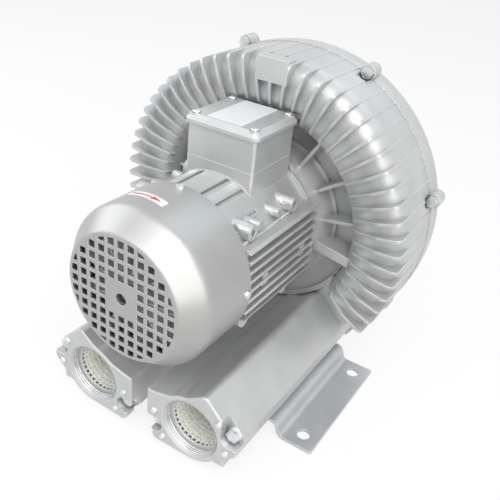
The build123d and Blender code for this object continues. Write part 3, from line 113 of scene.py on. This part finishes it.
# The nodes of a material or of the room
class Shading:
    def __init__(self, tree):
        self.tree = tree

    def node(self, kind, settings, sockets, output=0):
        made = self.tree.nodes.new(kind)
        for name, value in settings.items():
            setattr(made, name, value)
        for name, value in sockets.items():
            self.plug(made.inputs[name], value)
        return Wire(self, made.outputs[output])

    def plug(self, socket, value):
        if isinstance(value, Wire):
            self.tree.links.new(value.socket, socket)
        elif socket.type == "RGBA" and len(value) == 3:
            socket.default_value = (*value, 1)
        else:
            socket.default_value = value

    def spread(self, value, low, high, outLow=0.0, outHigh=1.0):
        limits = {"From Min": low, "From Max": high, "To Min": outLow, "To Max": outHigh}
        return self.node("ShaderNodeMapRange", {}, {"Value": value, **limits})

    # 1 where the camera looks, also by way of gloss or glass, and 0 for the light that falls
    def looking(self):
        rays = self.tree.nodes.new("ShaderNodeLightPath").outputs
        names = ("Is Glossy Ray", "Is Transmission Ray")
        return sum((Wire(self, rays[name]) for name in names), Wire(self, rays["Is Camera Ray"]))


usualNoise = (0.3, 0.7)  # where most of a noise's values lie
edgeHighlightLean = (0.004, 0.12)  # lean of a rounded normal where the painted edge highlight begins, and where it is full
edgeSamples = 4
hollowSamples = 8

socketNames = {
    "colour": "Base Color",
    "rough": "Roughness",
    "metal": "Metallic",
    "normal": "Normal",
    "coat": "Coat Weight",
    "coatRough": "Coat Roughness",
}


# One material, with lengths in metres
class Finish(Shading):
    def __init__(self, name):
        self.material = bpy.data.materials.new(name)
        self.material.use_nodes = True
        super().__init__(self.material.node_tree)
        self.shader = self.tree.nodes["Principled BSDF"]
        self.place = self.node("ShaderNodeTexCoord", {}, {}, "Object")

    def set(self, **sockets):
        for name, value in sockets.items():
            self.plug(self.shader.inputs[socketNames[name]], value)
        return self.material

    def noise(self, grain, detail=2, where=None):
        sockets = {"Vector": where or self.place, "Scale": 1 / grain, "Detail": detail}
        return self.node("ShaderNodeTexNoise", {}, sockets, "Fac")

    def wave(self, kind, scale, distortion, detail, **sockets):
        sockets = {"Scale": scale, "Distortion": distortion, "Detail": detail, **sockets}
        settings = {"wave_type": kind, f"{kind.lower()}_direction": "Y"}
        return self.node("ShaderNodeTexWave", settings, {"Vector": self.place, **sockets}, "Fac")

    # place with its steps along the motor's axis made finer
    def alongAxis(self, times):
        return self.node("ShaderNodeMapping", {}, {"Vector": self.place, "Scale": (1, times, 1)})

    def mix(self, factor, first, second):
        sockets = {0: factor, 6: first, 7: second}
        return self.node("ShaderNodeMix", {"data_type": "RGBA"}, sockets, 2)

    def bump(self, height, depth, strength, normal=None):
        sockets = {"Height": height, "Distance": depth, "Strength": strength}
        if normal:
            sockets["Normal"] = normal
        return self.node("ShaderNodeBump", {}, sockets)

    def rounded(self, radius):
        return self.node("ShaderNodeBevel", {"samples": edgeSamples}, {"Radius": radius})

    # 1 deep in a corner or a narrow gap, 0 in the open
    def hollow(self, reach):
        settings = {"samples": hollowSamples}
        clear = self.node("ShaderNodeAmbientOcclusion", settings, {"Distance": reach}, "AO")
        return 1 - clear

    # 1 along the edges that a rounded normal softens
    def edges(self, normal):
        flat = self.node("ShaderNodeNewGeometry", {}, {}, "Normal")
        settings = {"operation": "DOT_PRODUCT"}
        facing = self.node("ShaderNodeVectorMath", settings, {0: normal, 1: flat}, "Value")
        return self.spread(1 - facing, *edgeHighlightLean)


# Aluminium paint or zinc on a cast or drawn surface, with a painted highlight along its edges
# and painted shade in its recesses
paintColours = {
    "cast": (0.52, 0.523, 0.523),
    "castDark": (0.465, 0.469, 0.47),
    "sheet": (0.42, 0.42, 0.412),
    "sheetDark": (0.39, 0.39, 0.382),
    "zinc": (0.52, 0.54, 0.555),
    "zincDark": (0.47, 0.49, 0.505),
    # near black for the painted shade in recesses
    "recess": (0.12, 0.124, 0.128),
    # near white for the pale flecks, and for the painted highlight along edges
    "edge": (0.95, 0.955, 0.96),
}
paintLook = {
    "cloud": 0.03,
    "speck": 0.0006,
    "speckRange": (0.55, 0.8),
    "specks": 0.2,
    "grain": 0.0011,
    "depth": 0.00005,
    "bump": 0.6,
    "edge": 0.0007,
    "edgeShare": 0.85,
    "recessReach": 0.014,
    "recessRange": (0.35, 0.75),
    "recess": 0.6,
    "shine": 0.35,
    "shineSpread": 0.1,
    "speckShine": 0.03,
    "metal": 0.5,
    "coat": 0.15,
    "coatRough": 0.3,
}


def paint(name, colour, **changes):
    look = {**paintLook, **changes}
    light, dark, paleFlecksAndHighlight, recess = (
        paintColours[k] for k in (colour, f"{colour}Dark", "edge", "recess")
    )
    f = Finish(name)
    cloud = f.noise(look["cloud"], detail=3)
    speck = f.noise(look["speck"], detail=1)
    texture = f.noise(look["grain"], detail=3)
    soft = f.rounded(look["edge"])
    body = f.mix(f.spread(cloud, *usualNoise), dark, light)
    body = f.mix(f.spread(speck, *look["speckRange"], 0, look["specks"]), body, paleFlecksAndHighlight)
    # painted highlight: the edges are lightened towards near white
    body = f.mix(f.edges(soft) * look["edgeShare"], body, paleFlecksAndHighlight)
    # painted shade: corners and narrow gaps are darkened towards near black
    paintedShade = f.spread(f.hollow(look["recessReach"]), *look["recessRange"], 0, look["recess"])
    body = f.mix(paintedShade, body, recess)
    shine = look["shine"]
    rough = f.spread(cloud, *usualNoise, shine, shine + look["shineSpread"])
    rough = rough + f.spread(speck, *usualNoise, -look["speckShine"], look["speckShine"])
    return f.set(
        colour=body,
        metal=look["metal"],
        rough=rough,
        normal=f.bump(texture, look["depth"], look["bump"], soft),
        coat=look["coat"],
        coatRough=look["coatRough"],
    )


# Plated, turned or bare metal, with fine lines round the motor's axis
steelLook = {
    "brush": 0.0006,
    "cloud": 0.006,
    "cloudRange": (0.35, 0.7),
    "dull": 0.8,
    "shineSpread": 0.14,
    "depth": 0.00002,
    "bump": 0.5,
    "edge": 0.0003,
    "metal": 0.95,
}


def steel(name, colour, shine, lines=12):
    look = steelLook
    f = Finish(name)
    brush = f.noise(look["brush"], where=f.alongAxis(lines))
    cloud = f.noise(look["cloud"])
    dull = tuple(c * look["dull"] for c in colour)
    return f.set(
        colour=f.mix(f.spread(cloud, *look["cloudRange"]), dull, colour),
        metal=look["metal"],
        rough=f.spread(brush, *usualNoise, shine, shine + look["shineSpread"]),
        normal=f.bump(brush, look["depth"], look["bump"], f.rounded(look["edge"])),
    )


# Dull rubber, plastic and foam, and the pale screens
dullLook = {
    "cloudRange": (0.3, 0.75),
    "paler": 1.25,
    "lift": 0.01,
    "roughSpread": 0.06,
    "bump": 0.7,
    "edge": 0.0004,
}


def dullStuff(name, colour, grain, depth, rough):
    look = dullLook
    f = Finish(name)
    cloud = f.noise(grain, detail=3)
    pale = tuple(min(1, c * look["paler"] + look["lift"]) for c in colour)
    limits = (rough - look["roughSpread"], rough + look["roughSpread"])
    return f.set(
        colour=f.mix(f.spread(cloud, *look["cloudRange"]), colour, pale),
        rough=f.spread(cloud, *usualNoise, *limits),
        normal=f.bump(cloud, depth, look["bump"], f.rounded(look["edge"])),
    )


# Thin sheets stacked along the motor's axis, with a little rust
packLook = {
    "scale": 160,
    "distortion": 0.4,
    "detail": 1,
    "cloud": 0.01,
    "rustRange": (0.55, 0.8),
    "rustShare": 0.5,
    "rustTint": (0.8, 0.66, 0.55),
    "shine": (0.4, 0.55),
    "metal": 0.8,
    "depth": 0.0002,
    "bump": 0.6,
}


def sheetPack(name, colour):
    look = packLook
    f = Finish(name)
    stack = f.wave("BANDS", look["scale"], look["distortion"], look["detail"])
    cloud = f.noise(look["cloud"], detail=3)
    rust = tuple(c * k for c, k in zip(colour, look["rustTint"]))
    rusted = f.spread(cloud, *look["rustRange"], 0, look["rustShare"])
    return f.set(
        colour=f.mix(rusted, colour, rust),
        metal=look["metal"],
        rough=f.spread(cloud, *usualNoise, *look["shine"]),
        normal=f.bump(stack, look["depth"], look["bump"]),
    )


# Varnished copper wire laid round the slots
copper = {
    "dark": (0.30, 0.10, 0.035),
    "light": (0.62, 0.27, 0.11),
    "scale": 180,
    "distortion": 3,
    "detail": 2,
    "detailScale": 0.4,
    "shine": (0.42, 0.28),
    "metal": 0.7,
    "depth": 0.0004,
    "bump": 0.8,
    "coat": 0.4,
    "coatRough": 0.15,
}


def wireTurns(name):
    f = Finish(name)
    fine = {"Detail Scale": copper["detailScale"]}
    turns = f.wave("RINGS", copper["scale"], copper["distortion"], copper["detail"], **fine)
    return f.set(
        colour=f.mix(turns, copper["dark"], copper["light"]),
        metal=copper["metal"],
        rough=f.spread(turns, 0, 1, *copper["shine"]),
        normal=f.bump(turns, copper["depth"], copper["bump"]),
        coat=copper["coat"],
        coatRough=copper["coatRough"],
    )


# Blank label film, faintly glossy and a little yellowed in clouds
filmLook = {
    "cloud": 0.006,
    "tint": (0.96, 0.955, 0.93),
    "shine": (0.3, 0.4),
    "ripple": 0.0025,
    "depth": 0.00002,
    "bump": 0.5,
    "coat": 0.3,
    "coatRough": 0.2,
}


def film(name, colour):
    look = filmLook
    f = Finish(name)
    cloud = f.noise(look["cloud"], detail=3)
    tinted = tuple(c * k for c, k in zip(colour, look["tint"]))
    return f.set(
        colour=f.mix(cloud, tinted, colour),
        rough=f.spread(cloud, *usualNoise, *look["shine"]),
        normal=f.bump(f.noise(look["ripple"]), look["depth"], look["bump"]),
        coat=look["coat"],
        coatRough=look["coatRough"],
    )


# these paints differ in how strongly painted shade darkens their recesses
cast = paint("castPaint", "cast")
plainCast = paint("plainCastPaint", "cast", recess=0.25)
smoothPaint = paint(
    "sheetPaint",
    "sheet",
    grain=0.002,
    depth=0.00001,
    shine=0.38,
    metal=0.75,
    recess=0.3,
    specks=0.1,
)
zinc = paint("zincPlate", "zinc", grain=0.003, depth=0.00003, shine=0.4, recess=0.4)

bright = steel("brightScrew", (0.80, 0.81, 0.82), shine=0.3)
turned = steel("turnedSteel", (0.56, 0.57, 0.58), shine=0.22, lines=14)
race = steel("groundRace", (0.66, 0.67, 0.68), shine=0.14)
bareCast = steel("bareAluminium", (0.66, 0.665, 0.67), shine=0.42, lines=1)
brass = steel("brass", (0.72, 0.52, 0.22), shine=0.24)

dullFinishes = {
    # name: colour, grain, depth, roughness
    "screenSteel": ((0.80, 0.81, 0.76), 0.004, 0.00002, 0.42),
    "blackRubber": ((0.022, 0.022, 0.024), 0.0008, 0.00008, 0.78),
    "greyGasket": ((0.42, 0.42, 0.415), 0.0008, 0.00005, 0.6),
    "blackPlastic": ((0.03, 0.03, 0.032), 0.0012, 0.00004, 0.5),
    "greyFanPlastic": ((0.6, 0.6, 0.605), 0.0014, 0.00005, 0.5),
    "greenFoam": ((0.68, 0.72, 0.60), 0.0011, 0.0004, 0.9),
}
screenSteel, rubber, greyRubber, blackPlastic, greyPlastic, foam = (
    dullStuff(name, *values) for name, values in dullFinishes.items()
)

finishes = {
    cast: (
        "side_channel_housing",
        "rear_cover",
    ),
    plainCast: (
        "right_silencer_body",
        "left_silencer_body",
        "motor_frame",
        "fan_end_shield",
        "terminal_box",
        "terminal_box_lid",
    ),
    smoothPaint: ("fan_cover",),
    zinc: ("right_foot", "left_foot"),
    bright: (
        "cover_bolts",
        "silencer_bolts",
        "port_screws",
        "foot_screws",
        "tie_bolts",
        "fan_cover_screws",
        "lid_screws",
        "impeller_bolt",
        "impeller_washer",
    ),
    turned: ("motor_shaft", "impeller_key", "fan_circlip", "wave_washer"),
    race: (
        "front_bearing_outer",
        "front_bearing_inner",
        "front_bearing_balls",
        "rear_bearing_outer",
        "rear_bearing_inner",
        "rear_bearing_balls",
    ),
    bareCast: ("impeller",),
    brass: ("terminal_studs", "terminal_links", "earth_screw"),
    rubber: ("shaft_seal", "lid_gasket"),
    greyRubber: ("box_gasket",),
    blackPlastic: ("terminal_block", "cable_gland", "gland_nut"),
    greyPlastic: ("cooling_fan",),
    foam: ("right_silencer_sleeve", "left_silencer_sleeve"),
    sheetPack("statorSheets", (0.42, 0.43, 0.45)): ("stator_core",),
    sheetPack("rotorSheets", (0.48, 0.49, 0.50)): ("rotor_core",),
    wireTurns("copperWire"): ("stator_winding",),
    screenSteel: ("right_port_screen", "left_port_screen"),
}

for finish, names in finishes.items():
    for name in names:
        for slot in nodes[name].material_slots:
            slot.material = finish
print("finishes set")


def deselectAll():
    if bpy.context.object and bpy.context.object.mode != "OBJECT":
        bpy.ops.object.mode_set(mode="OBJECT")
    bpy.ops.object.select_all(action="DESELECT")


weldGap = 0.000005
flatAngle = 30  # edges that turn less are shaded smooth, in degrees


# Merges doubles and turns all faces outwards
def weld():
    bpy.ops.object.mode_set(mode="EDIT")
    bpy.ops.mesh.select_all(action="SELECT")
    bpy.ops.mesh.remove_doubles(threshold=weldGap)
    bpy.ops.mesh.normals_make_consistent(inside=False)
    bpy.ops.object.mode_set(mode="OBJECT")


def finishPiece(piece, finish, body="housing", smooth=flatAngle):
    deselectAll()
    piece.select_set(True)
    bpy.context.view_layer.objects.active = piece
    bpy.ops.object.transform_apply(location=True, rotation=True, scale=True)
    weld()
    bpy.ops.object.shade_smooth_by_angle(angle=radians(smooth))
    piece.data.materials.clear()
    piece.data.materials.append(finish)
    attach(piece, body)
    return piece


def applyModifiers(piece):
    bpy.context.view_layer.objects.active = piece
    for modifier in list(piece.modifiers):
        bpy.ops.object.modifier_apply(modifier=modifier.name)


cornerSegments = 8


# Rounds those edges of a block that rise by more than a given height
def roundUprights(block, corner, height):
    bpy.ops.object.mode_set(mode="EDIT")
    bpy.ops.mesh.select_mode(type="EDGE")
    bpy.ops.mesh.select_all(action="DESELECT")
    bpy.ops.object.mode_set(mode="OBJECT")
    for edge in block.data.edges:
        a, b = (block.data.vertices[v].co for v in edge.vertices)
        edge.select = abs(a.z - b.z) > height
    bpy.ops.object.mode_set(mode="EDIT")
    bpy.ops.mesh.bevel(offset=corner, segments=cornerSegments, affect="EDGES")
    bpy.ops.mesh.select_mode(type="VERT")
    bpy.ops.object.mode_set(mode="OBJECT")


def plainBlock(low, high):
    deselectAll()
    middle = [(a + b) / 2 for a, b in zip(low, high)]
    bpy.ops.mesh.primitive_cube_add(size=1, location=middle)
    block = bpy.context.object
    block.scale = [b - a for a, b in zip(low, high)]
    bpy.ops.object.transform_apply(location=True, rotation=True, scale=True)
    return block


# Blank plate on the lid
plate = {
    "left": -0.018,
    "right": 0.018,
    "front": -0.044,
    "rear": 0.018,
    "thick": 0.0004,
    "corner": 0.002,
    "colour": (0.72, 0.74, 0.77),
}


def makeLidPlate():
    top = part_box("terminal_box_lid")[1].z
    low = (plate["left"], plate["front"], top)
    high = (plate["right"], plate["rear"], top + plate["thick"])
    piece = plainBlock(low, high)
    piece.name = "lidPlate"
    roundUprights(piece, plate["corner"], plate["thick"] / 2)
    finishPiece(piece, film("blankPlate", plate["colour"]))


makeLidPlate()


# Label on the fan cover, with an arrow that shows which way the shaft turns
label = {
    "reach": 0.07415,
    "start": 82,
    "end": 115,
    "startY": -0.134,
    "endY": -0.127,
    "width": 0.0085,
    "thick": 0.00015,
    "steps": 16,
    "colour": (0.86, 0.86, 0.85),
}
arrow = {
    # name: start and end angle, width at each, steps
    "parts": {
        "shaftBar": ((94, 112.5), (0.0017, 0.0026), 8),
        "arrowPoint": ((85.5, 94), (0.0001, 0.0052), 6),
    },
    "thick": 0.0001,
    "colour": (0.62, 0.035, 0.03),
}


# A strip bent round the fan cover between two angles, with its width at each
def coverStrip(name, angles, widths, lift, thick, steps):
    deselectAll()
    bpy.ops.mesh.primitive_grid_add(x_subdivisions=steps, y_subdivisions=1, size=1)
    piece = bpy.context.object
    piece.name = name
    reach = label["reach"] + lift
    for vertex in piece.data.vertices:
        t = vertex.co.x + 0.5  # 0 to 1 along the strip
        turn = angles[0] + (angles[1] - angles[0]) * t
        width = widths[0] + (widths[1] - widths[0]) * t
        share = (turn - label["start"]) / (label["end"] - label["start"])
        middle = label["startY"] + (label["endY"] - label["startY"]) * share
        y = middle + vertex.co.y * width
        vertex.co = (reach * cos(radians(turn)), y, axisHeight + reach * sin(radians(turn)))
    solid = piece.modifiers.new("thickness", "SOLIDIFY")
    solid.thickness = thick
    solid.offset = 0
    applyModifiers(piece)
    return piece


def makeCoverLabel():
    white = film("labelWhite", label["colour"])
    red = film("arrowRed", arrow["colour"])
    angles = (label["start"], label["end"])
    widths = (label["width"], label["width"])
    base = coverStrip("coverLabel", angles, widths, 0, label["thick"], label["steps"])
    finishPiece(base, white)
    parts = [
        coverStrip(name, span, ends, label["thick"], arrow["thick"], steps)
        for name, (span, ends, steps) in arrow["parts"].items()
    ]
    deselectAll()
    for part in parts:
        part.select_set(True)
    bpy.context.view_layer.objects.active = parts[0]
    bpy.ops.object.join()
    parts[0].name = "turnArrow"
    finishPiece(parts[0], red)


makeCoverLabel()
print("labels made")

# Ports: pipe thread in the mouth, then a collar and a tube of perforated sheet
port = {"x": 0.0583, "z": 0.0406, "steps": 72, "smooth": 20}
thread = {
    "front": -0.1478,
    "pitch": 0.00231,
    "share": 0.49,  # of the pitch, so that the rows don't touch
    "depth": 0.0008,
    "turns": 3,
    "bore": 0.02828,
}
collar = {"front": -0.1416, "lip": -0.1403, "back": -0.1394, "reach": 0.02825}
screen = {
    "front": -0.1402,
    "rear": 0.0575,
    "radius": 0.0253,
    "thick": 0.0007,
    "columns": 32,
    "rows": 40,
    "web": 0.00095,
}


def portCentre(side):
    return Vector((side * port["x"], 0, port["z"]))


# A closed outline of (y, reach) points turned once round a port's axis
def turnedRing(name, side, outline):
    deselectAll()
    bpy.ops.mesh.primitive_circle_add(vertices=len(outline))
    piece = bpy.context.object
    piece.name = name
    for vertex, (y, reach) in zip(piece.data.vertices, outline):
        vertex.co = Vector((reach, y, 0)) + portCentre(side)
    bpy.ops.object.mode_set(mode="EDIT")
    bpy.ops.mesh.select_all(action="SELECT")
    bpy.ops.mesh.spin(
        steps=port["steps"],
        angle=2 * pi,
        center=portCentre(side),
        axis=(0, 1, 0),
        use_auto_merge=True,
    )
    bpy.ops.object.mode_set(mode="OBJECT")
    return piece


def makePortThread(name, side):
    half = thread["pitch"] * thread["share"]
    crest = thread["bore"] - thread["depth"]
    rows = [(-half, thread["bore"]), (0, crest), (half, thread["bore"])]
    piece = turnedRing(name, side, [(thread["front"] + y, reach) for y, reach in rows])
    repeat = piece.modifiers.new("rows", "ARRAY")
    repeat.count = thread["turns"]
    repeat.use_relative_offset = False
    repeat.use_constant_offset = True
    repeat.constant_offset_displace = (0, thread["pitch"], 0)
    applyModifiers(piece)
    finishPiece(piece, bareCast, smooth=port["smooth"])


def makePortCollar(name, side):
    outline = [
        (collar["front"], collar["reach"]),
        (collar["lip"], screen["radius"]),
        (collar["back"], screen["radius"]),
        (collar["back"], collar["reach"]),
    ]
    ring = turnedRing(name, side, outline)
    finishPiece(ring, plainCast, smooth=port["smooth"])


# The sheet is punched flat, then rolled
def makePortScreen(name, side, node):
    deselectAll()
    bpy.ops.mesh.primitive_grid_add(
        x_subdivisions=screen["columns"], y_subdivisions=screen["rows"], size=1
    )
    piece = bpy.context.object
    piece.name = name
    piece.scale = (2 * pi * screen["radius"], screen["rear"] - screen["front"], 1)
    bpy.ops.object.transform_apply(location=True, rotation=True, scale=True)
    bpy.ops.object.mode_set(mode="EDIT")
    bpy.ops.mesh.select_all(action="SELECT")
    bpy.ops.mesh.inset(thickness=screen["web"], use_individual=True)
    bpy.ops.mesh.delete(type="FACE")
    bpy.ops.object.mode_set(mode="OBJECT")
    middle = portCentre(side) + Vector((0, (screen["front"] + screen["rear"]) / 2, 0))
    for vertex in piece.data.vertices:
        turn = vertex.co.x / screen["radius"]
        across, down = cos(turn) * screen["radius"], sin(turn) * screen["radius"]
        vertex.co = middle + Vector((across, vertex.co.y, -down))
    weld()
    sheet = piece.modifiers.new("thickness", "SOLIDIFY")
    sheet.thickness = screen["thick"]
    sheet.offset = 1
    applyModifiers(piece)
    finishPiece(piece, screenSteel)
    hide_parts(node)


for word, side in (("right", 1), ("left", -1)):
    makePortThread(f"{word}PortThread", side)
    makePortCollar(f"{word}PortCollar", side)
    makePortScreen(f"{word}PerforatedScreen", side, f"{word}_port_screen")
print("ports made")

# Motor frame: its pedestal stands straight, between flats that the bosses rise from
barrel = {
    "reach": 0.0701,
    "flat": 0.066,
    "front": -0.0954,
    "rear": 0.0225,
    "low": 0.2065,  # the cut lies between these heights
    "top": 0.24668,
    "halfWidth": 0.08,
    "coreMiddle": -0.04,
    "coreLength": 0.2,
    "sides": 180,
    "smooth": 6,
    "weldGap": 0.000001,
    "slitSides": 6,  # most corners of a slit that a cut leaves open
}
grooveFloor = {"inner": 0.0601, "outer": 0.0668, "rear": -0.0496, "spread": 60, "steps": 24}
pedestal = {
    "halfWidth": 0.03572,
    "front": -0.04762,
    "rear": 0.02062,
    "corner": 0.003,
    "over": 0.01,  # past the cut's top
    "leastEdge": 0.01,  # shorter edges aren't rounded
}
boss = {"height": 0.045, "sides": 48}
bosses = (
    # y, reach, radius
    (-0.080, 0.064, 0.00752),
    (-0.009, 0.064, 0.00752),
    (-0.065, 0.062, 0.00452),
    (-0.033, 0.062, 0.00452),
)


def combine(piece, other, operation):
    step = piece.modifiers.new(operation, "BOOLEAN")
    step.operation = operation
    step.solver = "EXACT"
    step.object = other
    applyModifiers(piece)
    bpy.data.objects.remove(other)


# What stays of the frame's upper half: its round top between two flats
def makeBarrelCore():
    deselectAll()
    bpy.ops.mesh.primitive_cylinder_add(
        vertices=barrel["sides"],
        radius=barrel["reach"],
        depth=barrel["coreLength"],
        location=(0, barrel["coreMiddle"], axisHeight),
        rotation=(pi / 2, 0, 0),
    )
    core = bpy.context.object
    bpy.ops.object.transform_apply(location=True, rotation=True, scale=True)
    for side in (-1, 1):
        outward = Vector((side, 0, 1)).normalized()
        bpy.ops.object.mode_set(mode="EDIT")
        bpy.ops.mesh.select_all(action="SELECT")
        bpy.ops.mesh.bisect(
            plane_co=Vector((0, 0, axisHeight)) + outward * barrel["flat"],
            plane_no=outward,
            use_fill=True,
            clear_outer=True,
        )
        bpy.ops.object.mode_set(mode="OBJECT")
    return core


# The block that is cut away, less what stays: core, pedestal and bosses
def makeFrameCutter():
    low = (-barrel["halfWidth"], barrel["front"], barrel["low"])
    high = (barrel["halfWidth"], barrel["rear"], barrel["top"])
    cutter = plainBlock(low, high)
    combine(cutter, makeBarrelCore(), "DIFFERENCE")
    low = (-pedestal["halfWidth"], pedestal["front"], axisHeight)
    high = (pedestal["halfWidth"], pedestal["rear"], barrel["top"] + pedestal["over"])
    post = plainBlock(low, high)
    roundUprights(post, pedestal["corner"], pedestal["leastEdge"])
    combine(cutter, post, "DIFFERENCE")
    for y, reach, radius in bosses:
        deselectAll()
        bpy.ops.mesh.primitive_cylinder_add(
            vertices=boss["sides"],
            radius=radius,
            depth=2 * reach,
            location=(0, y, axisHeight + boss["height"]),
            rotation=(0, pi / 2, 0),
        )
        combine(cutter, bpy.context.object, "DIFFERENCE")
    return cutter


# Raised floor of the grooves in front of the pedestal
def makeGrooveFloor():
    deselectAll()
    bpy.ops.mesh.primitive_plane_add(size=1)
    floor = bpy.context.object
    spread = radians(grooveFloor["spread"])
    corners = [
        (y, reach)
        for reach in (grooveFloor["inner"], grooveFloor["outer"])
        for y in (barrel["front"], grooveFloor["rear"])
    ]
    for vertex, (y, reach) in zip(floor.data.vertices, corners):
        vertex.co = (sin(spread / 2) * reach, y, axisHeight + cos(spread / 2) * reach)
    bpy.ops.object.mode_set(mode="EDIT")
    bpy.ops.mesh.select_all(action="SELECT")
    bpy.ops.mesh.spin(
        steps=grooveFloor["steps"], angle=spread, center=(0, 0, axisHeight), axis=(0, 1, 0)
    )
    bpy.ops.object.mode_set(mode="OBJECT")
    weld()
    return floor


def makeMotorFrame():
    deselectAll()
    piece = bpy.data.objects.new("finnedFrame", nodes["motor_frame"].data.copy())
    bpy.context.scene.collection.objects.link(piece)
    piece.select_set(True)
    bpy.context.view_layer.objects.active = piece
    bpy.ops.object.mode_set(mode="EDIT")
    bpy.ops.mesh.select_all(action="SELECT")
    bpy.ops.mesh.remove_doubles(threshold=barrel["weldGap"])
    bpy.ops.object.mode_set(mode="OBJECT")
    combine(piece, makeFrameCutter(), "DIFFERENCE")
    combine(piece, makeGrooveFloor(), "UNION")
    deselectAll()
    piece.select_set(True)
    bpy.ops.object.mode_set(mode="EDIT")
    bpy.ops.mesh.select_all(action="SELECT")
    bpy.ops.mesh.fill_holes(sides=barrel["slitSides"])
    bpy.ops.object.mode_set(mode="OBJECT")
    finishPiece(piece, plainCast, smooth=barrel["smooth"])
    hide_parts("motor_frame")


makeMotorFrame()
print("frame made")

# Studio: pale floor, white room and soft lights
studio = {
    "floorSize": 30,
    "floorDrop": 0.0002,
    "floorColours": ((0.86, 0.86, 0.86), (0.88, 0.88, 0.88)),
    "floorCloud": 0.4,
    "floorRough": 0.9,
    "floorGlow": 0.8,
    "white": (1, 1, 1),
    "whiteLevel": 1.0,
    "roomLight": 0.5,
    "lights": (
        # place, size, watts, colour
        ((0.75, -0.9, 1.6), 1.5, 22, (1, 1, 1)),
        ((-0.45, -1.25, 1.5), 1.1, 6, (0.93, 0.97, 1)),
        ((0.3, 1.2, 1.8), 1.6, 6, (0.7, 0.87, 1)),
        ((-1.5, -0.2, 1.0), 1.2, 8, (0.94, 0.97, 1)),
        ((1.5, -1.0, 0.5), 1.2, 9, (1, 1, 1)),
    ),
    "aim": (0, 0, 0.14),
}


def makeFloor():
    deselectAll()
    bpy.ops.mesh.primitive_plane_add(
        size=studio["floorSize"], location=(0, 0, -studio["floorDrop"])
    )
    floor = bpy.context.object
    floor.name = "floor"
    f = Finish("floorPaper")
    colour = f.mix(f.noise(studio["floorCloud"]), *studio["floorColours"])
    f.set(colour=colour, rough=studio["floorRough"])
    paper = Wire(f, f.shader.outputs["BSDF"])
    light = {"Color": studio["white"], "Strength": studio["whiteLevel"]}
    glow = f.node("ShaderNodeEmission", {}, light)
    share = f.looking() * studio["floorGlow"]
    both = f.node("ShaderNodeMixShader", {}, {0: share, 1: paper, 2: glow})
    f.plug(f.tree.nodes["Material Output"].inputs["Surface"], both)
    floor.data.materials.append(f.material)


def makeRoom():
    world = bpy.data.worlds.new("room")
    bpy.context.scene.world = world
    world.use_nodes = True
    room = Shading(world.node_tree)
    back = room.tree.nodes["Background"].inputs
    room.plug(back["Color"], studio["white"])
    level = room.spread(room.looking(), 0, 1, studio["roomLight"], studio["whiteLevel"])
    room.plug(back["Strength"], level)


def makeLights():
    for k, (place, size, watts, colour) in enumerate(studio["lights"]):
        lamp = bpy.data.lights.new(f"softLight{k}", "AREA")
        lamp.shape = "DISK"
        lamp.size = size
        lamp.energy = watts
        lamp.color = colour
        holder = bpy.data.objects.new(f"softLight{k}", lamp)
        holder.location = place
        away = Vector(place) - Vector(studio["aim"])
        holder.rotation_euler = away.to_track_quat("Z", "Y").to_euler()
        bpy.context.scene.collection.objects.link(holder)


makeFloor()
makeRoom()
makeLights()
bpy.context.scene.view_settings.view_transform = "Standard"
print("studio made")
